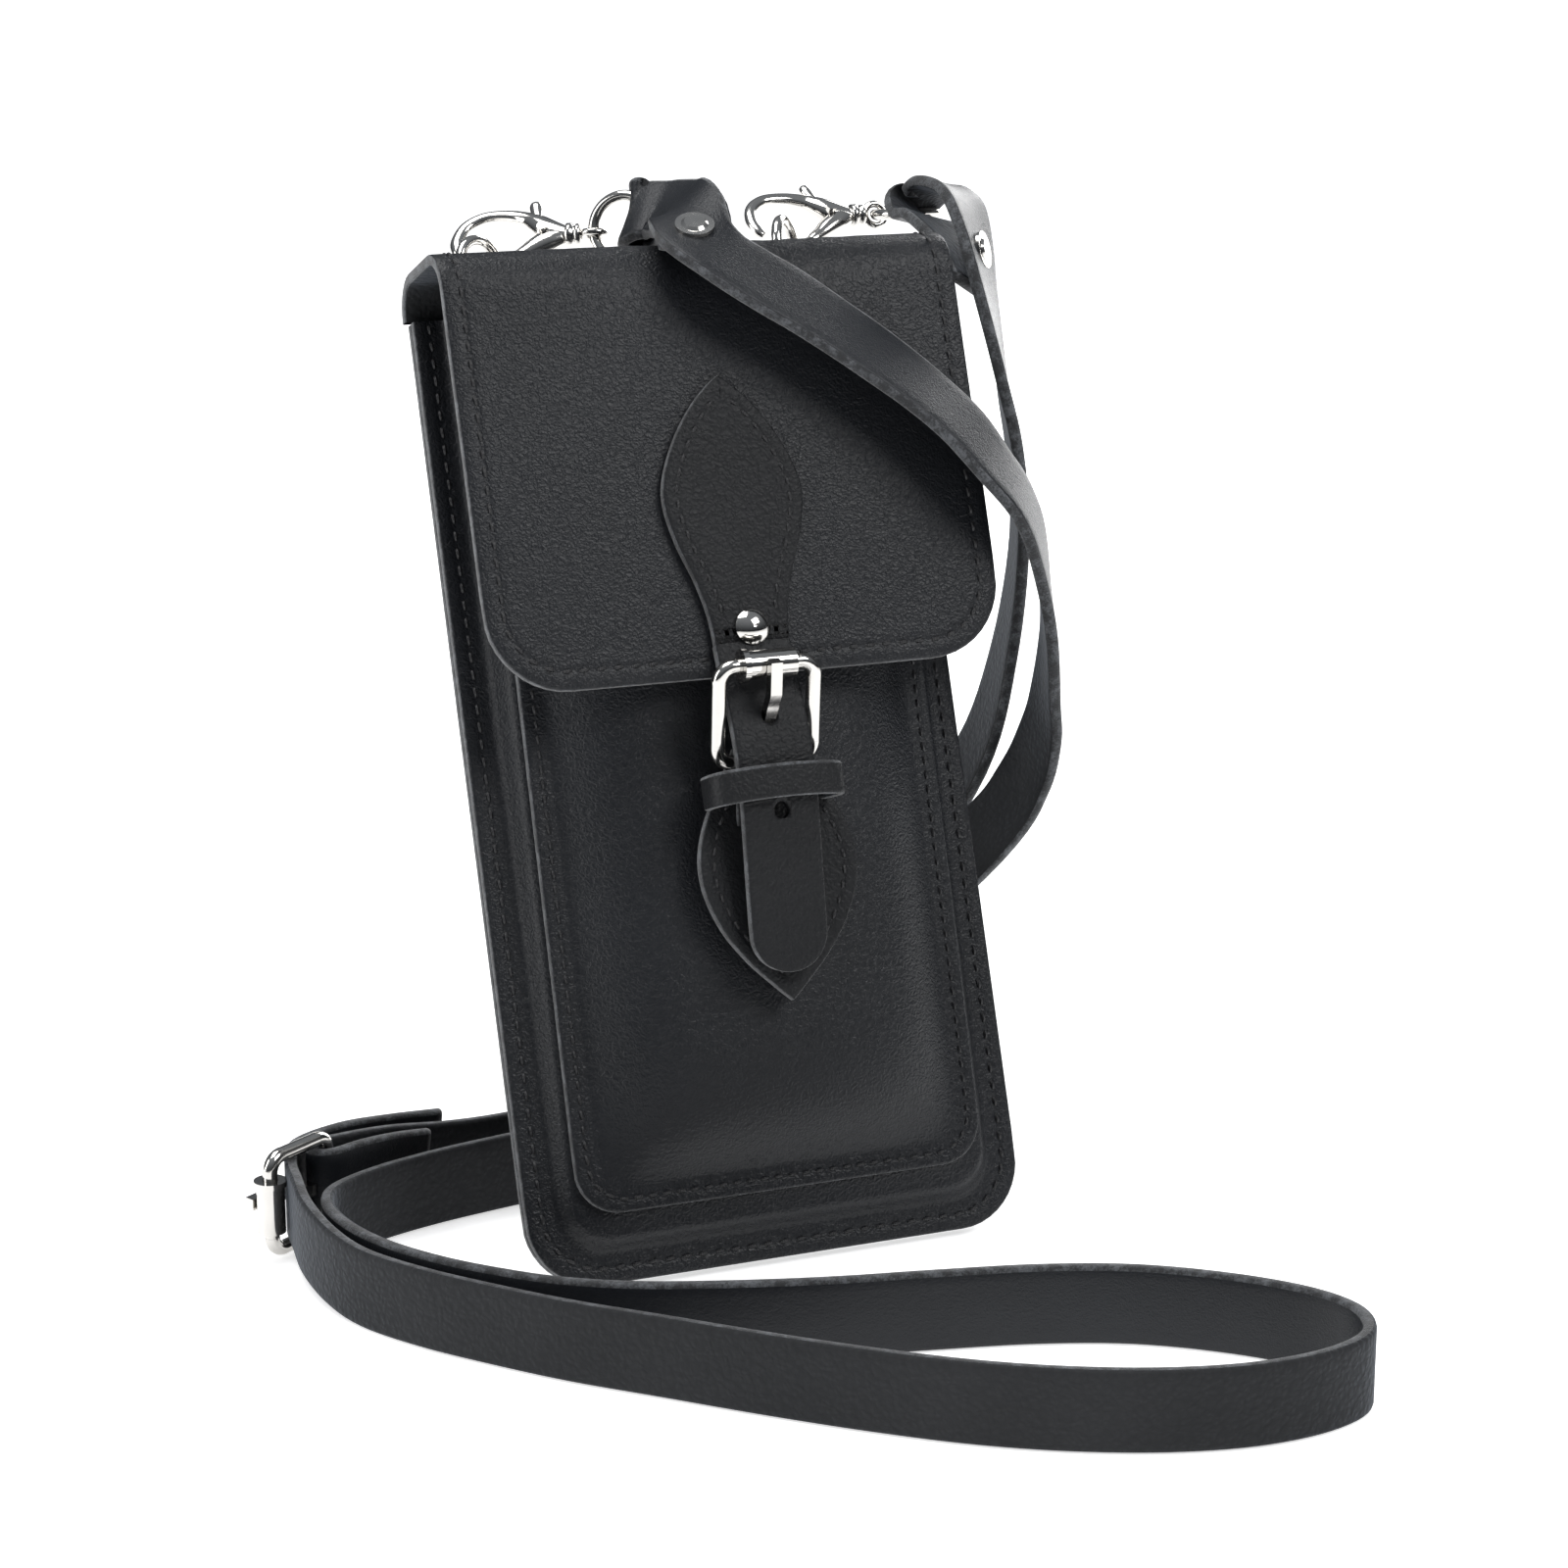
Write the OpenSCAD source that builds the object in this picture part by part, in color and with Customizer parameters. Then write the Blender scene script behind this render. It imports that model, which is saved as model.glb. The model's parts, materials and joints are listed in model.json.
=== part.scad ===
// Slim upright leather case with a buckled flap, a moulded front pocket and a
// shoulder strap that clips to two rings behind the top fold.
// Millimetres. +Z is up, X runs along the case's width and the front faces -Y.
// The case leans back on its bottom edge, and the strap stands on edge on the same surface.

/* [Case] */
// Width of the case body
case_w = 100; // [96:1:104]
// Height from the bottom edge to the top of the fold, along the case
case_h = 192; // [188:1:196]
// Depth from the back face to the front of the flap
case_d = 29; // [28:0.5:30]
// Thickness of the body leather
leather_t = 2; // [1.8:0.1:2.2]
// Radius of the lower corners of the body
corner_r = 13; // [8:1:15]
// How far the case leans back from upright, in degrees
lean = 20.5; // [18:0.5:23]

/* [Flap] */
// Width of the flap
flap_w = 102; // [100:1:103]
// Height of the flap's lower edge above the bottom of the case
flap_foot = 108.5; // [107:0.5:110]
// Radius of the flap's lower corners
flap_r = 15; // [8:1:18]

/* [Pocket] */
// Width of the front pocket
pocket_w = 82; // [78:1:84]
// Height of the pocket's lower edge
pocket_foot = 13; // [11:1:15]
// Height of the pocket's mouth
pocket_head = 134; // [126:1:138]
// Radius of the pocket's lower corners
pocket_r = 8.5; // [5:0.5:10]

/* [Closure] */
// Width of the closing strap
billet_w = 15; // [14:0.5:15]
// Diameter of the punched holes
hole_d = 3.2; // [3:0.1:3.6]
// Sideways place of the closure
closure_x = -0.8; // [-1.5:0.1:0]
// Clear width inside the buckle frame
buckle_gap = 15.8; // [15.6:0.1:16.4]

/* [Shoulder strap] */
// Width of the shoulder strap
strap_w = 15; // [14:0.5:15]
// Thickness of the shoulder strap
strap_t = 2.4; // [2:0.1:2.6]
// Outer diameter of the round rings
ring_d = 14.6; // [14:0.1:15]
// Thickness of the ring wire
ring_wire = 2.2; // [2:0.1:2.3]

/* [Stitching] */
// Distance from one stitch to the next on the body and the flap
stitch_pitch = 3.3; // [3:0.1:4]
// Distance from one stitch to the next on the pocket and the leaves
fine_pitch = 2.7; // [2.4:0.1:3.2]

/* [Hidden] */
$fn = 48;

leather = "#1b1d21";
leather_edge = "#26282b";
thread = "#0d0e10";
nickel = "#c9c6c0";

setback = 36.25;                 // puts the origin under the middle of the case
fit = 0.06;                     // running clearance of a pin in its bore
gap = 0.3;                      // clearance between pieces that pass each other
hinge_z = case_h - 8;           // where the flap's fold starts to bend
hinge_y = -leather_t / 2;
fold_r = 8;                     // outer radius of the fold's two bends
rim_front = -2 * leather_t;     // front of the sewn rim
face_tilt = 2;                  // the front panel leans out towards the mouth
face_y = -7;                    // front panel's face at the pocket's lower edge
mouth_z = 180;                  // top edge of the front panel

// Closure
leaf_y = -case_d - leather_t;
rivet_z = 117;
heel_y = -28.8;
heel_z = 92.5;
bar_r = 1.45;
heel_r = 1.3;
frame_run = 18.5;               // from the heel bar to the roller bar
frame_tilt = 24.6;              // how far the frame stands off the case
roller_r = 2.7;
prong_t = 2.2;
hole_z = 99.5;
hole_step = 16.5;

// Rings and clasps, in the case's own frame
ring_r = (ring_d - ring_wire) / 2;
case_ring_x = [-31.4, 32.4];
case_ring_y = [9, 8];
case_ring_z = [196.4, 197.6];   // centre of the ring's round side
ring_turn = [30, 50];           // the tab is twisted this far by the clasp
case_ring_r = 5.5;
tab_z = 188;                    // straight side of the case ring
clasp_y = 12;
clasp_z = 202.3;
clasp_x = [-27.4, 34.4];
clasp_lift = [0, 1.5];
clasp_roll = -35;
clasp_yaw = [30, 0];            // the left clasp comes forward over the fold
clasp_dip = [7, 0];             // and down towards it
hook_r = 7.6;
hook_hole_r = 5.6;
collar_x = 15;
pin_at = [10.2, 1.4];
eye_x = 20.2;                   // from the hook's centre to the swivel eye
eye_r = 2.25;
swivel_z = 1;                   // the swivel axis above the jaw's centre

// The strap buckle stands on the floor at the left
strap_heel = [-76.6, 43.2];
strap_bar = [-90, 34.5];
strap_mid_z = 11;

function unit(v) = v / norm(v);
function lean_pt(p) = [p[0], p[1] * cos(lean) + p[2] * sin(lean), -p[1] * sin(lean) + p[2] * cos(lean)];
function square_to(w, t) = unit(w - (w * t) * t);
function spline(a, b, c, d, t) =
    0.5 * (2 * b + (c - a) * t + (2 * a - 5 * b + 4 * c - d) * t * t + (3 * b - a - 3 * c + d) * t * t * t);
function at(list, i) = list[min(max(i, 0), len(list) - 1)];
function along(list, i, t) = spline(at(list, i - 1), at(list, i), at(list, i + 1), at(list, i + 2), t);

// Long strap: from the left ring over the fold, across the flap, round the right side and down behind.
long_high = [[1.4, -33.4, 184.6], [-1.2, -29.2, 189.8], [0.6, -23.8, 196.2], [2.8, -14.8, 199.2],
    [3.2, -7, 200.6], [1.6, -3.2, 201.6], [-2, -3.2, 202], [-3.8, -5.6, 202.2], [-2.4, -8, 202.2],
    [0, -10.4, 201.6], [1, -15.6, 200.4], [-0.5, -24.6, 197.6], [-1.8, -31.2, 191.8], [1.4, -35.6, 186],
    [7.8, -36.5, 181], [14.2, -36.2, 177], [22, -36, 171.4], [29.6, -35.9, 165.6], [37.6, -36, 158.8],
    [45, -36.5, 151], [50.8, -36, 143], [55, -34.5, 138], [58.2, -32, 133.4], [61.2, -28, 128.4],
    [64.4, -22, 120.5], [66.7, -16, 111.5], [68.4, -8, 102], [68.4, -3, 94.5], [66, 3, 86],
    [58, 9, 76]];
long_high_wide = [[0.66, 0.47, 0.58], [0.62, 0.47, 0.62], [0.64, 0.5, 0.58], [0.6, 0.5, 0.62],
    [0.5, 0.4, 0.77], [0.45, 0.37, 0.82], [0.45, 0.37, 0.82], [0.45, 0.37, 0.82], [0.48, 0.4, 0.78],
    [0.5, 0.42, 0.75], [0.6, 0.5, 0.62], [0.64, 0.5, 0.58], [0.62, 0.47, 0.62], [0.66, 0.47, 0.58],
    [0.67, 0.46, 0.57], [0.64, 0.47, 0.6], [0.65, 0.5, 0.57], [0.7, 0.5, 0.5], [0.77, 0.52, 0.37],
    [0.8, 0.55, 0.3], [0.7, 0.63, 0.33], [0.63, 0.7, 0.33], [0.59, 0.77, 0.2], [0.54, 0.83, 0.08],
    [0.45, 0.89, 0.05], [0.35, 0.93, 0.1], [0.2, 0.95, 0.2], [0, 0.9, 0.35], [-0.15, 0.8, 0.5],
    [-0.25, 0.7, 0.6]];
// Then behind the case to the floor, out to the left, back along the front to the right and home.
long_low = [[32, 45, 42], [18, 48, 19], [2, 48.5, 9.5], [-22, 46.5, 7.8], [-42, 43.5, 7.6],
    [-57, 40.5, 7.5], [-70, 36, 7.5], [-79, 30, 7.5], [-82, 22, 7.5], [-81, 11, 7.5],
    [-77, 0, 7.5], [-70, -11, 7.5], [-62, -20, 7.5], [-53, -28, 7.5], [-41, -35, 7.5],
    [-25, -41, 7.5], [-8, -46, 7.5], [10, -50, 7.5], [28, -54.5, 7.5], [44, -61, 7.5],
    [58, -71, 7.5], [68, -82, 7.5], [71.5, -92, 7.5], [68, -101, 7.5], [58, -105.5, 7.5],
    [44, -106, 7.5], [29, -102.5, 7.5], [14, -96, 7.5], [0, -87.5, 7.5], [-14, -76.5, 7.5],
    [-28, -64, 7.5], [-42, -50.5, 7.5], [-55, -38, 7.5], [-66, -25.5, 7.5], [-75, -14, 7.5],
    [-82, -2, 7.5], [-85.5, 8, 8.5], [-87, 19, 10], [-86.3, 29, 11], [-85, 38.4, 11],
    [-81.3, 47.8, 11], [-71.8, 53.2, 11], [-61, 56.8, 10], [-50, 58.9, 9]];
long_route = concat([for (p = long_high) lean_pt(p)], long_low);
long_wide = concat([for (p = long_high_wide) lean_pt(p)], [[-0.3, 0.3, 0.9], [-0.15, 0.15, 1]],
    [for (i = [2:len(long_low) - 1]) [0, 0, 1]]);
flap_edge_at = 21;              // where the long strap leaves the flap
behind_at = 33;                 // where it reaches the floor
buckle_at = 66;                 // where it lifts towards the strap buckle

// Short strap: from the right ring down the right side, behind the case and out to the strap buckle.
short_high = [[61.4, -13, 183], [60.6, -9.5, 191], [60, -2, 198.5], [59.4, 2.2, 200.8], [60.2, 5.2, 203.5],
    [62.4, 4.4, 206.2], [64, -0.5, 206.2], [64.6, -7.5, 201.5], [64, -12.4, 193], [63.8, -14.5, 181],
    [64.8, -14.5, 164], [67.4, -10.5, 150], [68.4, -5, 133], [66.4, 5, 112], [61.8, 17, 93]];
short_high_wide = [[0.7, 0.7, 0], [0.75, 0.66, 0], [0.8, 0.6, 0], [0.8, 0.6, 0], [0.8, 0.6, 0],
    [0.8, 0.6, 0], [0.8, 0.6, 0], [0.75, 0.66, 0], [0.7, 0.7, 0], [0.6, 0.8, 0],
    [0.45, 0.9, 0], [0.35, 0.94, 0], [0.3, 0.95, 0.1], [0.2, 0.95, 0.25], [0.1, 0.85, 0.5]];
short_low = [[50, 58, 58], [34, 61, 36], [18, 61.5, 16], [0, 60, 8.6], [-22, 57, 8],
    [-39, 54.2, 8], [-51, 53, 8.5], [-62, 50.8, 10], [-71, 47.8, 11], [-77.8, 46.3, 11],
    [-79.6, 43.4, 11], [-79.2, 41, 11], [-76, 40.2, 11], [-70, 42.6, 11], [-63, 45.2, 10.5],
    [-56, 47.6, 9.5]];
short_low_wide = concat([[0.1, 0.5, 0.8], [-0.2, 0.2, 0.9]], [for (i = [2:len(short_low) - 1]) [0, 0, 1]]);
short_route = concat([for (p = short_high) lean_pt(p)], short_low);
short_wide = concat([for (p = short_high_wide) lean_pt(p)], short_low_wide);
chape_at = 20;                  // where the short strap reaches the floor

module in_case() translate([0, -setback, 0]) rotate([-lean, 0, 0]) children();
module on_floor() translate([0, -setback, 0]) children();

// Stands a flat outline up so that it fills from y_front to y_front + t
module upright(y_front, t) translate([0, y_front + t, 0]) rotate([90, 0, 0]) linear_extrude(t) children();

// Rectangle with both lower corners rounded
module bib(w, z0, z1, r) {
    translate([-w / 2, z0 + r]) square([w, z1 - z0 - r]);
    translate([-w / 2 + r, z0]) square([w - 2 * r, r + 0.01]);
    for (s = [-1, 1]) translate([s * (w / 2 - r), z0 + r]) circle(r);
}

// Points that go down one side of a bib, round both corners and up the other side
function bib_path(w, z0, z1, r) = concat(
    [[-w / 2, z1], [-w / 2, z0 + r]],
    [for (a = [15:15:75]) [-w / 2 + r - r * cos(a), z0 + r - r * sin(a)]],
    [[-w / 2 + r, z0], [w / 2 - r, z0]],
    [for (a = [75:-15:15]) [w / 2 - r + r * cos(a), z0 + r - r * sin(a)]],
    [[w / 2, z0 + r], [w / 2, z1]]);

// A row of stitches along a path, standing just proud of the face at y
module stitch_row(path, pitch, y) {
    for (i = [0:len(path) - 2]) {
        step = path[i + 1] - path[i];
        count = max(1, round(norm(step) / pitch));
        for (k = [0:count - 1]) {
            p = path[i] + step * (k + 0.5) / count;
            long = min(pitch, norm(step) / count) * 0.68;
            translate([p[0], y - 0.26, p[1]]) rotate([0, -atan2(step[1], step[0]), 0])
                cube([long, 0.48, 0.7], center = true);
        }
    }
}

// Plate of the front panel: flat, tilted outwards towards the mouth
module tilted(w, z0, z1, y, t) {
    translate([0, y, pocket_foot]) rotate([face_tilt, 0, 0])
        translate([-w / 2, 0, z0 - pocket_foot]) cube([w, t, z1 - z0]);
}

module front_outer() {
    hull() {
        upright(rim_front, 0.6) bib(case_w - 10, 5, mouth_z, corner_r - 5);
        tilted(pocket_w + 1, 7, mouth_z, face_y, 0.5);
        tilted(pocket_w - 26, 20, mouth_z, face_y - 3, 0.5);
    }
}

module back_panel() {
    color(leather) in_case() upright(-leather_t, leather_t)
        bib(case_w, 0, hinge_z - leather_t / 2 - gap, corner_r);
}

module front_panel() {
    color(leather) in_case() difference() {
        union() {
            upright(rim_front, leather_t) bib(case_w, 0, mouth_z, corner_r);
            front_outer();
        }
        hull() {
            upright(-leather_t, 1) bib(case_w - 14, 7, mouth_z + 20, corner_r - 6);
            tilted(pocket_w - 6, 11, mouth_z + 20, face_y + leather_t, 0.5);
            tilted(pocket_w - 30, 22, mouth_z + 20, face_y - 1, 0.5);
        }
        translate([-case_w, -leather_t, -1]) cube([2 * case_w, 20, 2 * case_h]);
    }
}

// Local frame of the front panel's face, where the pocket is sewn on
module on_face() {
    translate([0, face_y, pocket_foot]) rotate([face_tilt, 0, 0]) translate([0, 0, -pocket_foot]) children();
}

module pocket_bulge() {
    hull() {
        on_face() upright(-leather_t, 0.5) bib(pocket_w - 10, pocket_foot + 5, pocket_head, pocket_r - 5);
        tilted(pocket_w - 16, 22, pocket_head, face_y - 6.5, 1);
        tilted(pocket_w - 34, 34, pocket_head, face_y - 12, 1);
    }
}

module pocket_panel() {
    color(leather) in_case() difference() {
        union() {
            on_face() upright(-leather_t, leather_t) bib(pocket_w, pocket_foot, pocket_head, pocket_r);
            pocket_bulge();
        }
        translate([0, -0.05, 0]) front_outer();
        hull() {
            tilted(pocket_w - 14, 21, pocket_head + 20, face_y - 1, 1);
            tilted(pocket_w - 20, 25, pocket_head + 20, face_y - 4.5, 1);
            tilted(pocket_w - 38, 37, pocket_head + 20, face_y - 10, 1);
        }
    }
}

module body_stitching() {
    color(thread) in_case() stitch_row(bib_path(case_w - 6, 3, 106, corner_r - 3), stitch_pitch, rim_front);
}

module pocket_stitching() {
    color(thread) in_case() on_face()
        stitch_row(bib_path(pocket_w - 5, pocket_foot + 2.5, pocket_head - 3, pocket_r - 2.5), fine_pitch,
            -leather_t);
}

// Side profile of the flap: up from the hinge, over the top and down the front
module fold_side(inset) {
    translate([-case_d + inset, 0]) square([case_d - 2 * inset, case_h - fold_r]);
    translate([-case_d + fold_r, 0]) square([case_d - 2 * fold_r, case_h - inset]);
    for (y = [-case_d + fold_r, -fold_r]) translate([y, case_h - fold_r]) circle(fold_r - inset);
}

module flap_shell() {
    difference() {
        intersection() {
            translate([-flap_w / 2, 0, 0]) rotate([90, 0, 90]) linear_extrude(flap_w) difference() {
                fold_side(0);
                fold_side(leather_t);
                translate([-leather_t - 5, -1]) square([leather_t + 6, hinge_z + 1]);
            }
            upright(-case_d - 1, case_d + 4) bib(flap_w, flap_foot, case_h + 1, flap_r);
        }
        translate([closure_x - 14, -case_d - 1, 0]) cube([28, leather_t + 2, rivet_z - 3.5]);
    }
    // rolled lower end of the fold's back leg
    translate([-flap_w / 2, hinge_y, hinge_z]) rotate([0, 90, 0]) cylinder(r = leather_t / 2, h = flap_w);
}

module rivet_bore() {
    translate([closure_x, 0, rivet_z]) rotate([90, 0, 0]) cylinder(r = 1.3, h = 2 * case_d);
}

module flap() {
    color(leather) in_case() difference() {
        flap_shell();
        rivet_bore();
    }
}

module flap_stitching() {
    color(thread) in_case() intersection() {
        stitch_row(bib_path(flap_w - 7, flap_foot + 3.5, case_h - fold_r, flap_r - 3), stitch_pitch, -case_d);
        union() {
            translate([-case_w, -case_d - 2, 0]) cube([case_w + closure_x - 15, 3, case_h]);
            translate([closure_x + 15, -case_d - 2, 0]) cube([case_w, 3, case_h]);
        }
    }
}

// Half width of a leaf at a fraction s of its length from the tip
function leaf_half(s, widest, neck) =
    s < 0.42 ? widest * sin(90 * pow(s / 0.42, 0.8)) :
    neck + (widest - neck) * (1 + cos(180 * min(1, (s - 0.42) / 0.5))) / 2;
function leaf_side(tip, foot, widest, neck, inset) =
    [for (s = [0.04:0.04:1]) [leaf_half(s, widest, neck) - inset, tip + (foot - tip) * s]];
module leaf_outline(tip, foot, widest, neck) {
    side = leaf_side(tip, foot, widest, neck, 0);
    polygon(concat([[0, tip]], side, [for (i = [len(side) - 1:-1:0]) [-side[i][0], side[i][1]]]));
}
module leaf_stitches(tip, foot, widest, neck, y) {
    side = [for (p = leaf_side(tip, foot, widest, neck, 2.6)) if (p[0] > 1) p];
    for (s = [-1, 1])
        stitch_row([for (p = side) [s * p[0], p[1]]], fine_pitch, y);
}

module flap_leaf() {
    color(leather) in_case() difference() {
        translate([closure_x, 0, 0]) upright(leaf_y, leather_t - 0.02)
            leaf_outline(164.3, rivet_z - 3.5, 13.8, 7.2);
        rivet_bore();
    }
}

module flap_leaf_stitching() {
    color(thread) in_case() translate([closure_x, 0, 0]) leaf_stitches(164.3, rivet_z + 4, 13.8, 7.2, leaf_y);
}

// Tubular rivet: domed cap in front, flat washer behind
module cap_rivet(head_r, grip, dome) {
    translate([0, 0, 0.03]) cylinder(r = head_r, h = 0.7);
    translate([0, 0, 0.73]) intersection() {
        translate([0, 0, dome - (head_r * head_r + dome * dome) / (2 * dome)])
            sphere(r = (head_r * head_r + dome * dome) / (2 * dome));
        cylinder(r = head_r, h = dome);
    }
    translate([0, 0, -grip - 0.03]) cylinder(r = 1.25, h = grip + 0.1);
    translate([0, 0, -grip - 0.83]) cylinder(r = head_r * 0.8, h = 0.8);
}

module flap_rivet() {
    color(nickel) in_case() translate([closure_x, leaf_y, rivet_z]) rotate([90, 0, 0])
        cap_rivet(3.3, 2 * leather_t, 1.4);
}

// The closing strap bows out over the heel bar and ends in a round tip
billet_side = [[-30, 113.2], [-31.2, 108], [-32.9, 101], [-34, 94], [-33.8, 86], [-32.2, 76],
    [-30, 64], [-28.6, 53]];
module billet_strap() {
    half = 1.1;
    color(leather) in_case() difference() {
        intersection() {
            translate([closure_x - billet_w / 2, 0, 0]) rotate([90, 0, 90]) linear_extrude(billet_w)
                polygon(concat([for (p = billet_side) p - [half, 0]],
                    [for (i = [len(billet_side) - 1:-1:0]) billet_side[i] + [half, 0]]));
            translate([closure_x, 0, 0]) upright(-40, 20) bib(billet_w, 53, 114, billet_w / 2 - 0.1);
        }
        translate([closure_x - 1.6, -40, hole_z - 4.4]) cube([3.2, 20, 7.4]);
        translate([closure_x, -20, hole_z - hole_step]) rotate([90, 0, 0]) cylinder(d = hole_d, h = 20);
    }
}

// Lower leaf: stitched to the pocket, its top wraps the buckle's heel bar
module lower_leaf() {
    color(leather) in_case() difference() {
        union() {
            translate([closure_x + 1, 0, 0]) hull() {
                translate([0, -24.4, 0]) upright(0, 1.6) intersection() {
                    leaf_low();
                    translate([-20, 40]) square([40, 44]);
                }
                translate([0, -25.4, 0]) upright(0, 1.6) intersection() {
                    leaf_low();
                    translate([-20, 60]) square([40, 24]);
                }
            }
            translate([closure_x - 5.8, heel_y, heel_z]) rotate([0, 90, 0])
                cylinder(r = heel_r + fit + 1.7, h = 11.6);
            translate([closure_x - 5.8, heel_y + 1.2, 80]) cube([11.6, 2.8, heel_z - 80]);
        }
        translate([-20, heel_y, heel_z]) rotate([0, 90, 0]) cylinder(r = heel_r + fit, h = 40);
        translate([closure_x - prong_t / 2 - 0.5, heel_y - 8, heel_z - 6]) cube([prong_t + 1, 12, 12]);
    }
}
module leaf_low() leaf_outline(47.8, 96, 15.4, 7);

module lower_leaf_stitching() {
    color(thread) in_case() intersection() {
        translate([closure_x + 1, 0, 0]) leaf_stitches(47.8, 96, 15.4, 7, -26);
        translate([-20, -30, 50]) cube([40, 8, 29]);
    }
}

// Leather loop that holds the closing strap's tail against the leaf
module keeper_loop() {
    color(leather) in_case() translate([closure_x, 0, 84.6]) linear_extrude(5.9) difference() {
        translate([-12, -36.6]) square([24, 12.0]);
        translate([-10.4, -35.2]) square([20.8, 9.4]);
        translate([-20, -26.4]) square([40, 3]);
    }
}

// Round bar between two points of a plane, with rounded ends
module rod(a, b, r) {
    d = b - a;
    translate(a) rotate([0, acos(d[2] / norm(d)), atan2(d[1], d[0])]) cylinder(r = r, h = norm(d));
}

// Buckle frame in its own plane: heel bar along X at the origin, roller bar at z = run
module frame_shape(run) {
    half = buckle_gap / 2 + bar_r;
    bend = 3;
    for (s = [-1, 1]) {
        rod([s * half, 0, bend - 0.3], [s * half, 0, run - bend + 0.3], bar_r - 0.03);
        translate([s * (half - bend), 0, run - bend]) rotate([90, 0, 0])
            rotate([0, 0, s > 0 ? 0 : 90]) rotate_extrude(angle = 90) translate([bend, 0]) circle(bar_r, $fn = 24);
        translate([s * (half - bend), 0, bend]) rotate([90, 0, 0])
            rotate([0, 0, s > 0 ? 270 : 180]) rotate_extrude(angle = 90) translate([bend, 0]) circle(bar_r, $fn = 24);
    }
    rod([-half + bend - 0.3, 0, run], [half - bend + 0.3, 0, run], bar_r - 0.03);
    rod([-half + bend - 0.5, 0, 0], [half - bend + 0.5, 0, 0], heel_r);
}

module roller_shape(run) {
    color(nickel) translate([-5.2, 0, run]) rotate([0, 90, 0]) difference() {
        union() {
            cylinder(r = roller_r, h = 10.4);
            cylinder(r = roller_r + 0.45, h = 1.1);
        }
        translate([0, 0, -1]) cylinder(r = bar_r + fit, h = 13);
    }
}

// Prong: an eye round the heel bar and a bent square bar whose tip rests on the roller
module prong_shape(run) {
    rest = roller_r + 0.15;
    color(nickel) translate([-prong_t / 2, 0, 0]) rotate([90, 0, 90]) linear_extrude(prong_t) difference() {
        union() {
            circle(heel_r + fit + 1.1);
            polygon([[-1.3, 0.9], [-1.3, 6.2], [-rest - prong_t, run - 4.6], [-rest - prong_t, run + 1.6],
                [-rest, run + 1.9], [-rest, run - 4.4], [1.3, 5.8], [1.3, 0.9]]);
        }
        circle(heel_r + fit);
    }
}

module at_buckle() in_case() translate([closure_x, heel_y, heel_z]) rotate([frame_tilt, 0, 0]) children();
module buckle_frame() color(nickel) at_buckle() frame_shape(frame_run);
module buckle_roller() at_buckle() roller_shape(frame_run);
module buckle_prong() at_buckle() prong_shape(frame_run);

// Leather tab riveted to the back, wrapped round the straight side of the case ring
module at_ring(k) {
    in_case() translate([case_ring_x[k], case_ring_y[k], tab_z]) rotate([0, 0, ring_turn[k]]) children();
}

module ring_tab(k) {
    difference() {
        color(leather) union() {
            in_case() translate([case_ring_x[k], 0, 0]) {
                translate([-5, gap / 2, 160]) cube([10, 1.8, 20]);
                translate([-5, 1.8, 160]) cube([10, 1.8, 20]);
            }
            hull() {
                in_case() translate([case_ring_x[k] - 4.2, gap / 2, 176]) cube([8.4, 3.4, 2]);
                at_ring(k) translate([-3.2, 0, 0]) rotate([0, 90, 0]) cylinder(r = 2.8, h = 6.4, $fn = 32);
            }
        }
        at_ring(k) translate([-8, 0, 0]) rotate([0, 90, 0]) cylinder(r = ring_wire / 2 + fit, h = 16);
        in_case() translate([case_ring_x[k], 20, 167]) rotate([90, 0, 0]) cylinder(r = 1.3, h = 30);
    }
}

module tab_rivet(k) {
    color(nickel) in_case() translate([case_ring_x[k], 3.6, 167]) rotate([-90, 0, 0]) {
        translate([0, 0, 0.03]) cylinder(r = 3, h = 0.8);
        translate([0, 0, -3.4]) cylinder(r = 1.25, h = 3.5);
    }
}

// D-shaped ring: straight side in the tab, round side up
module case_ring(k) {
    top = case_ring_r;
    rise = case_ring_z[k] - tab_z;
    color(nickel) at_ring(k) {
        rod([-top, 0, 0], [top, 0, 0], ring_wire / 2);
        for (side = [-1, 1]) {
            translate([side * top, 0, 0]) sphere(r = ring_wire / 2);
            rod([side * top, 0, 0], [side * top, 0, rise], ring_wire / 2);
        }
        translate([0, 0, rise]) rotate([90, 0, 0]) rotate_extrude(angle = 180)
            translate([top, 0]) circle(ring_wire / 2, $fn = 24);
    }
}

module at_clasp(k) {
    in_case() translate([clasp_x[k], clasp_y, clasp_z + clasp_lift[k]]) rotate([0, 0, -clasp_yaw[k]])
        rotate([0, clasp_dip[k], 0]) rotate([clasp_roll, 0, 0]) children();
}
// Flat shape in the hook's plane, thick across it
module plate(t) translate([0, t / 2, 0]) rotate([90, 0, 0]) linear_extrude(t) children();
module sector(r, a0, a1) {
    polygon(concat([[0, 0]], [for (a = [a0:(a1 - a0) / 8:a1]) 2 * r * [cos(a), sin(a)]]));
}

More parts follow.
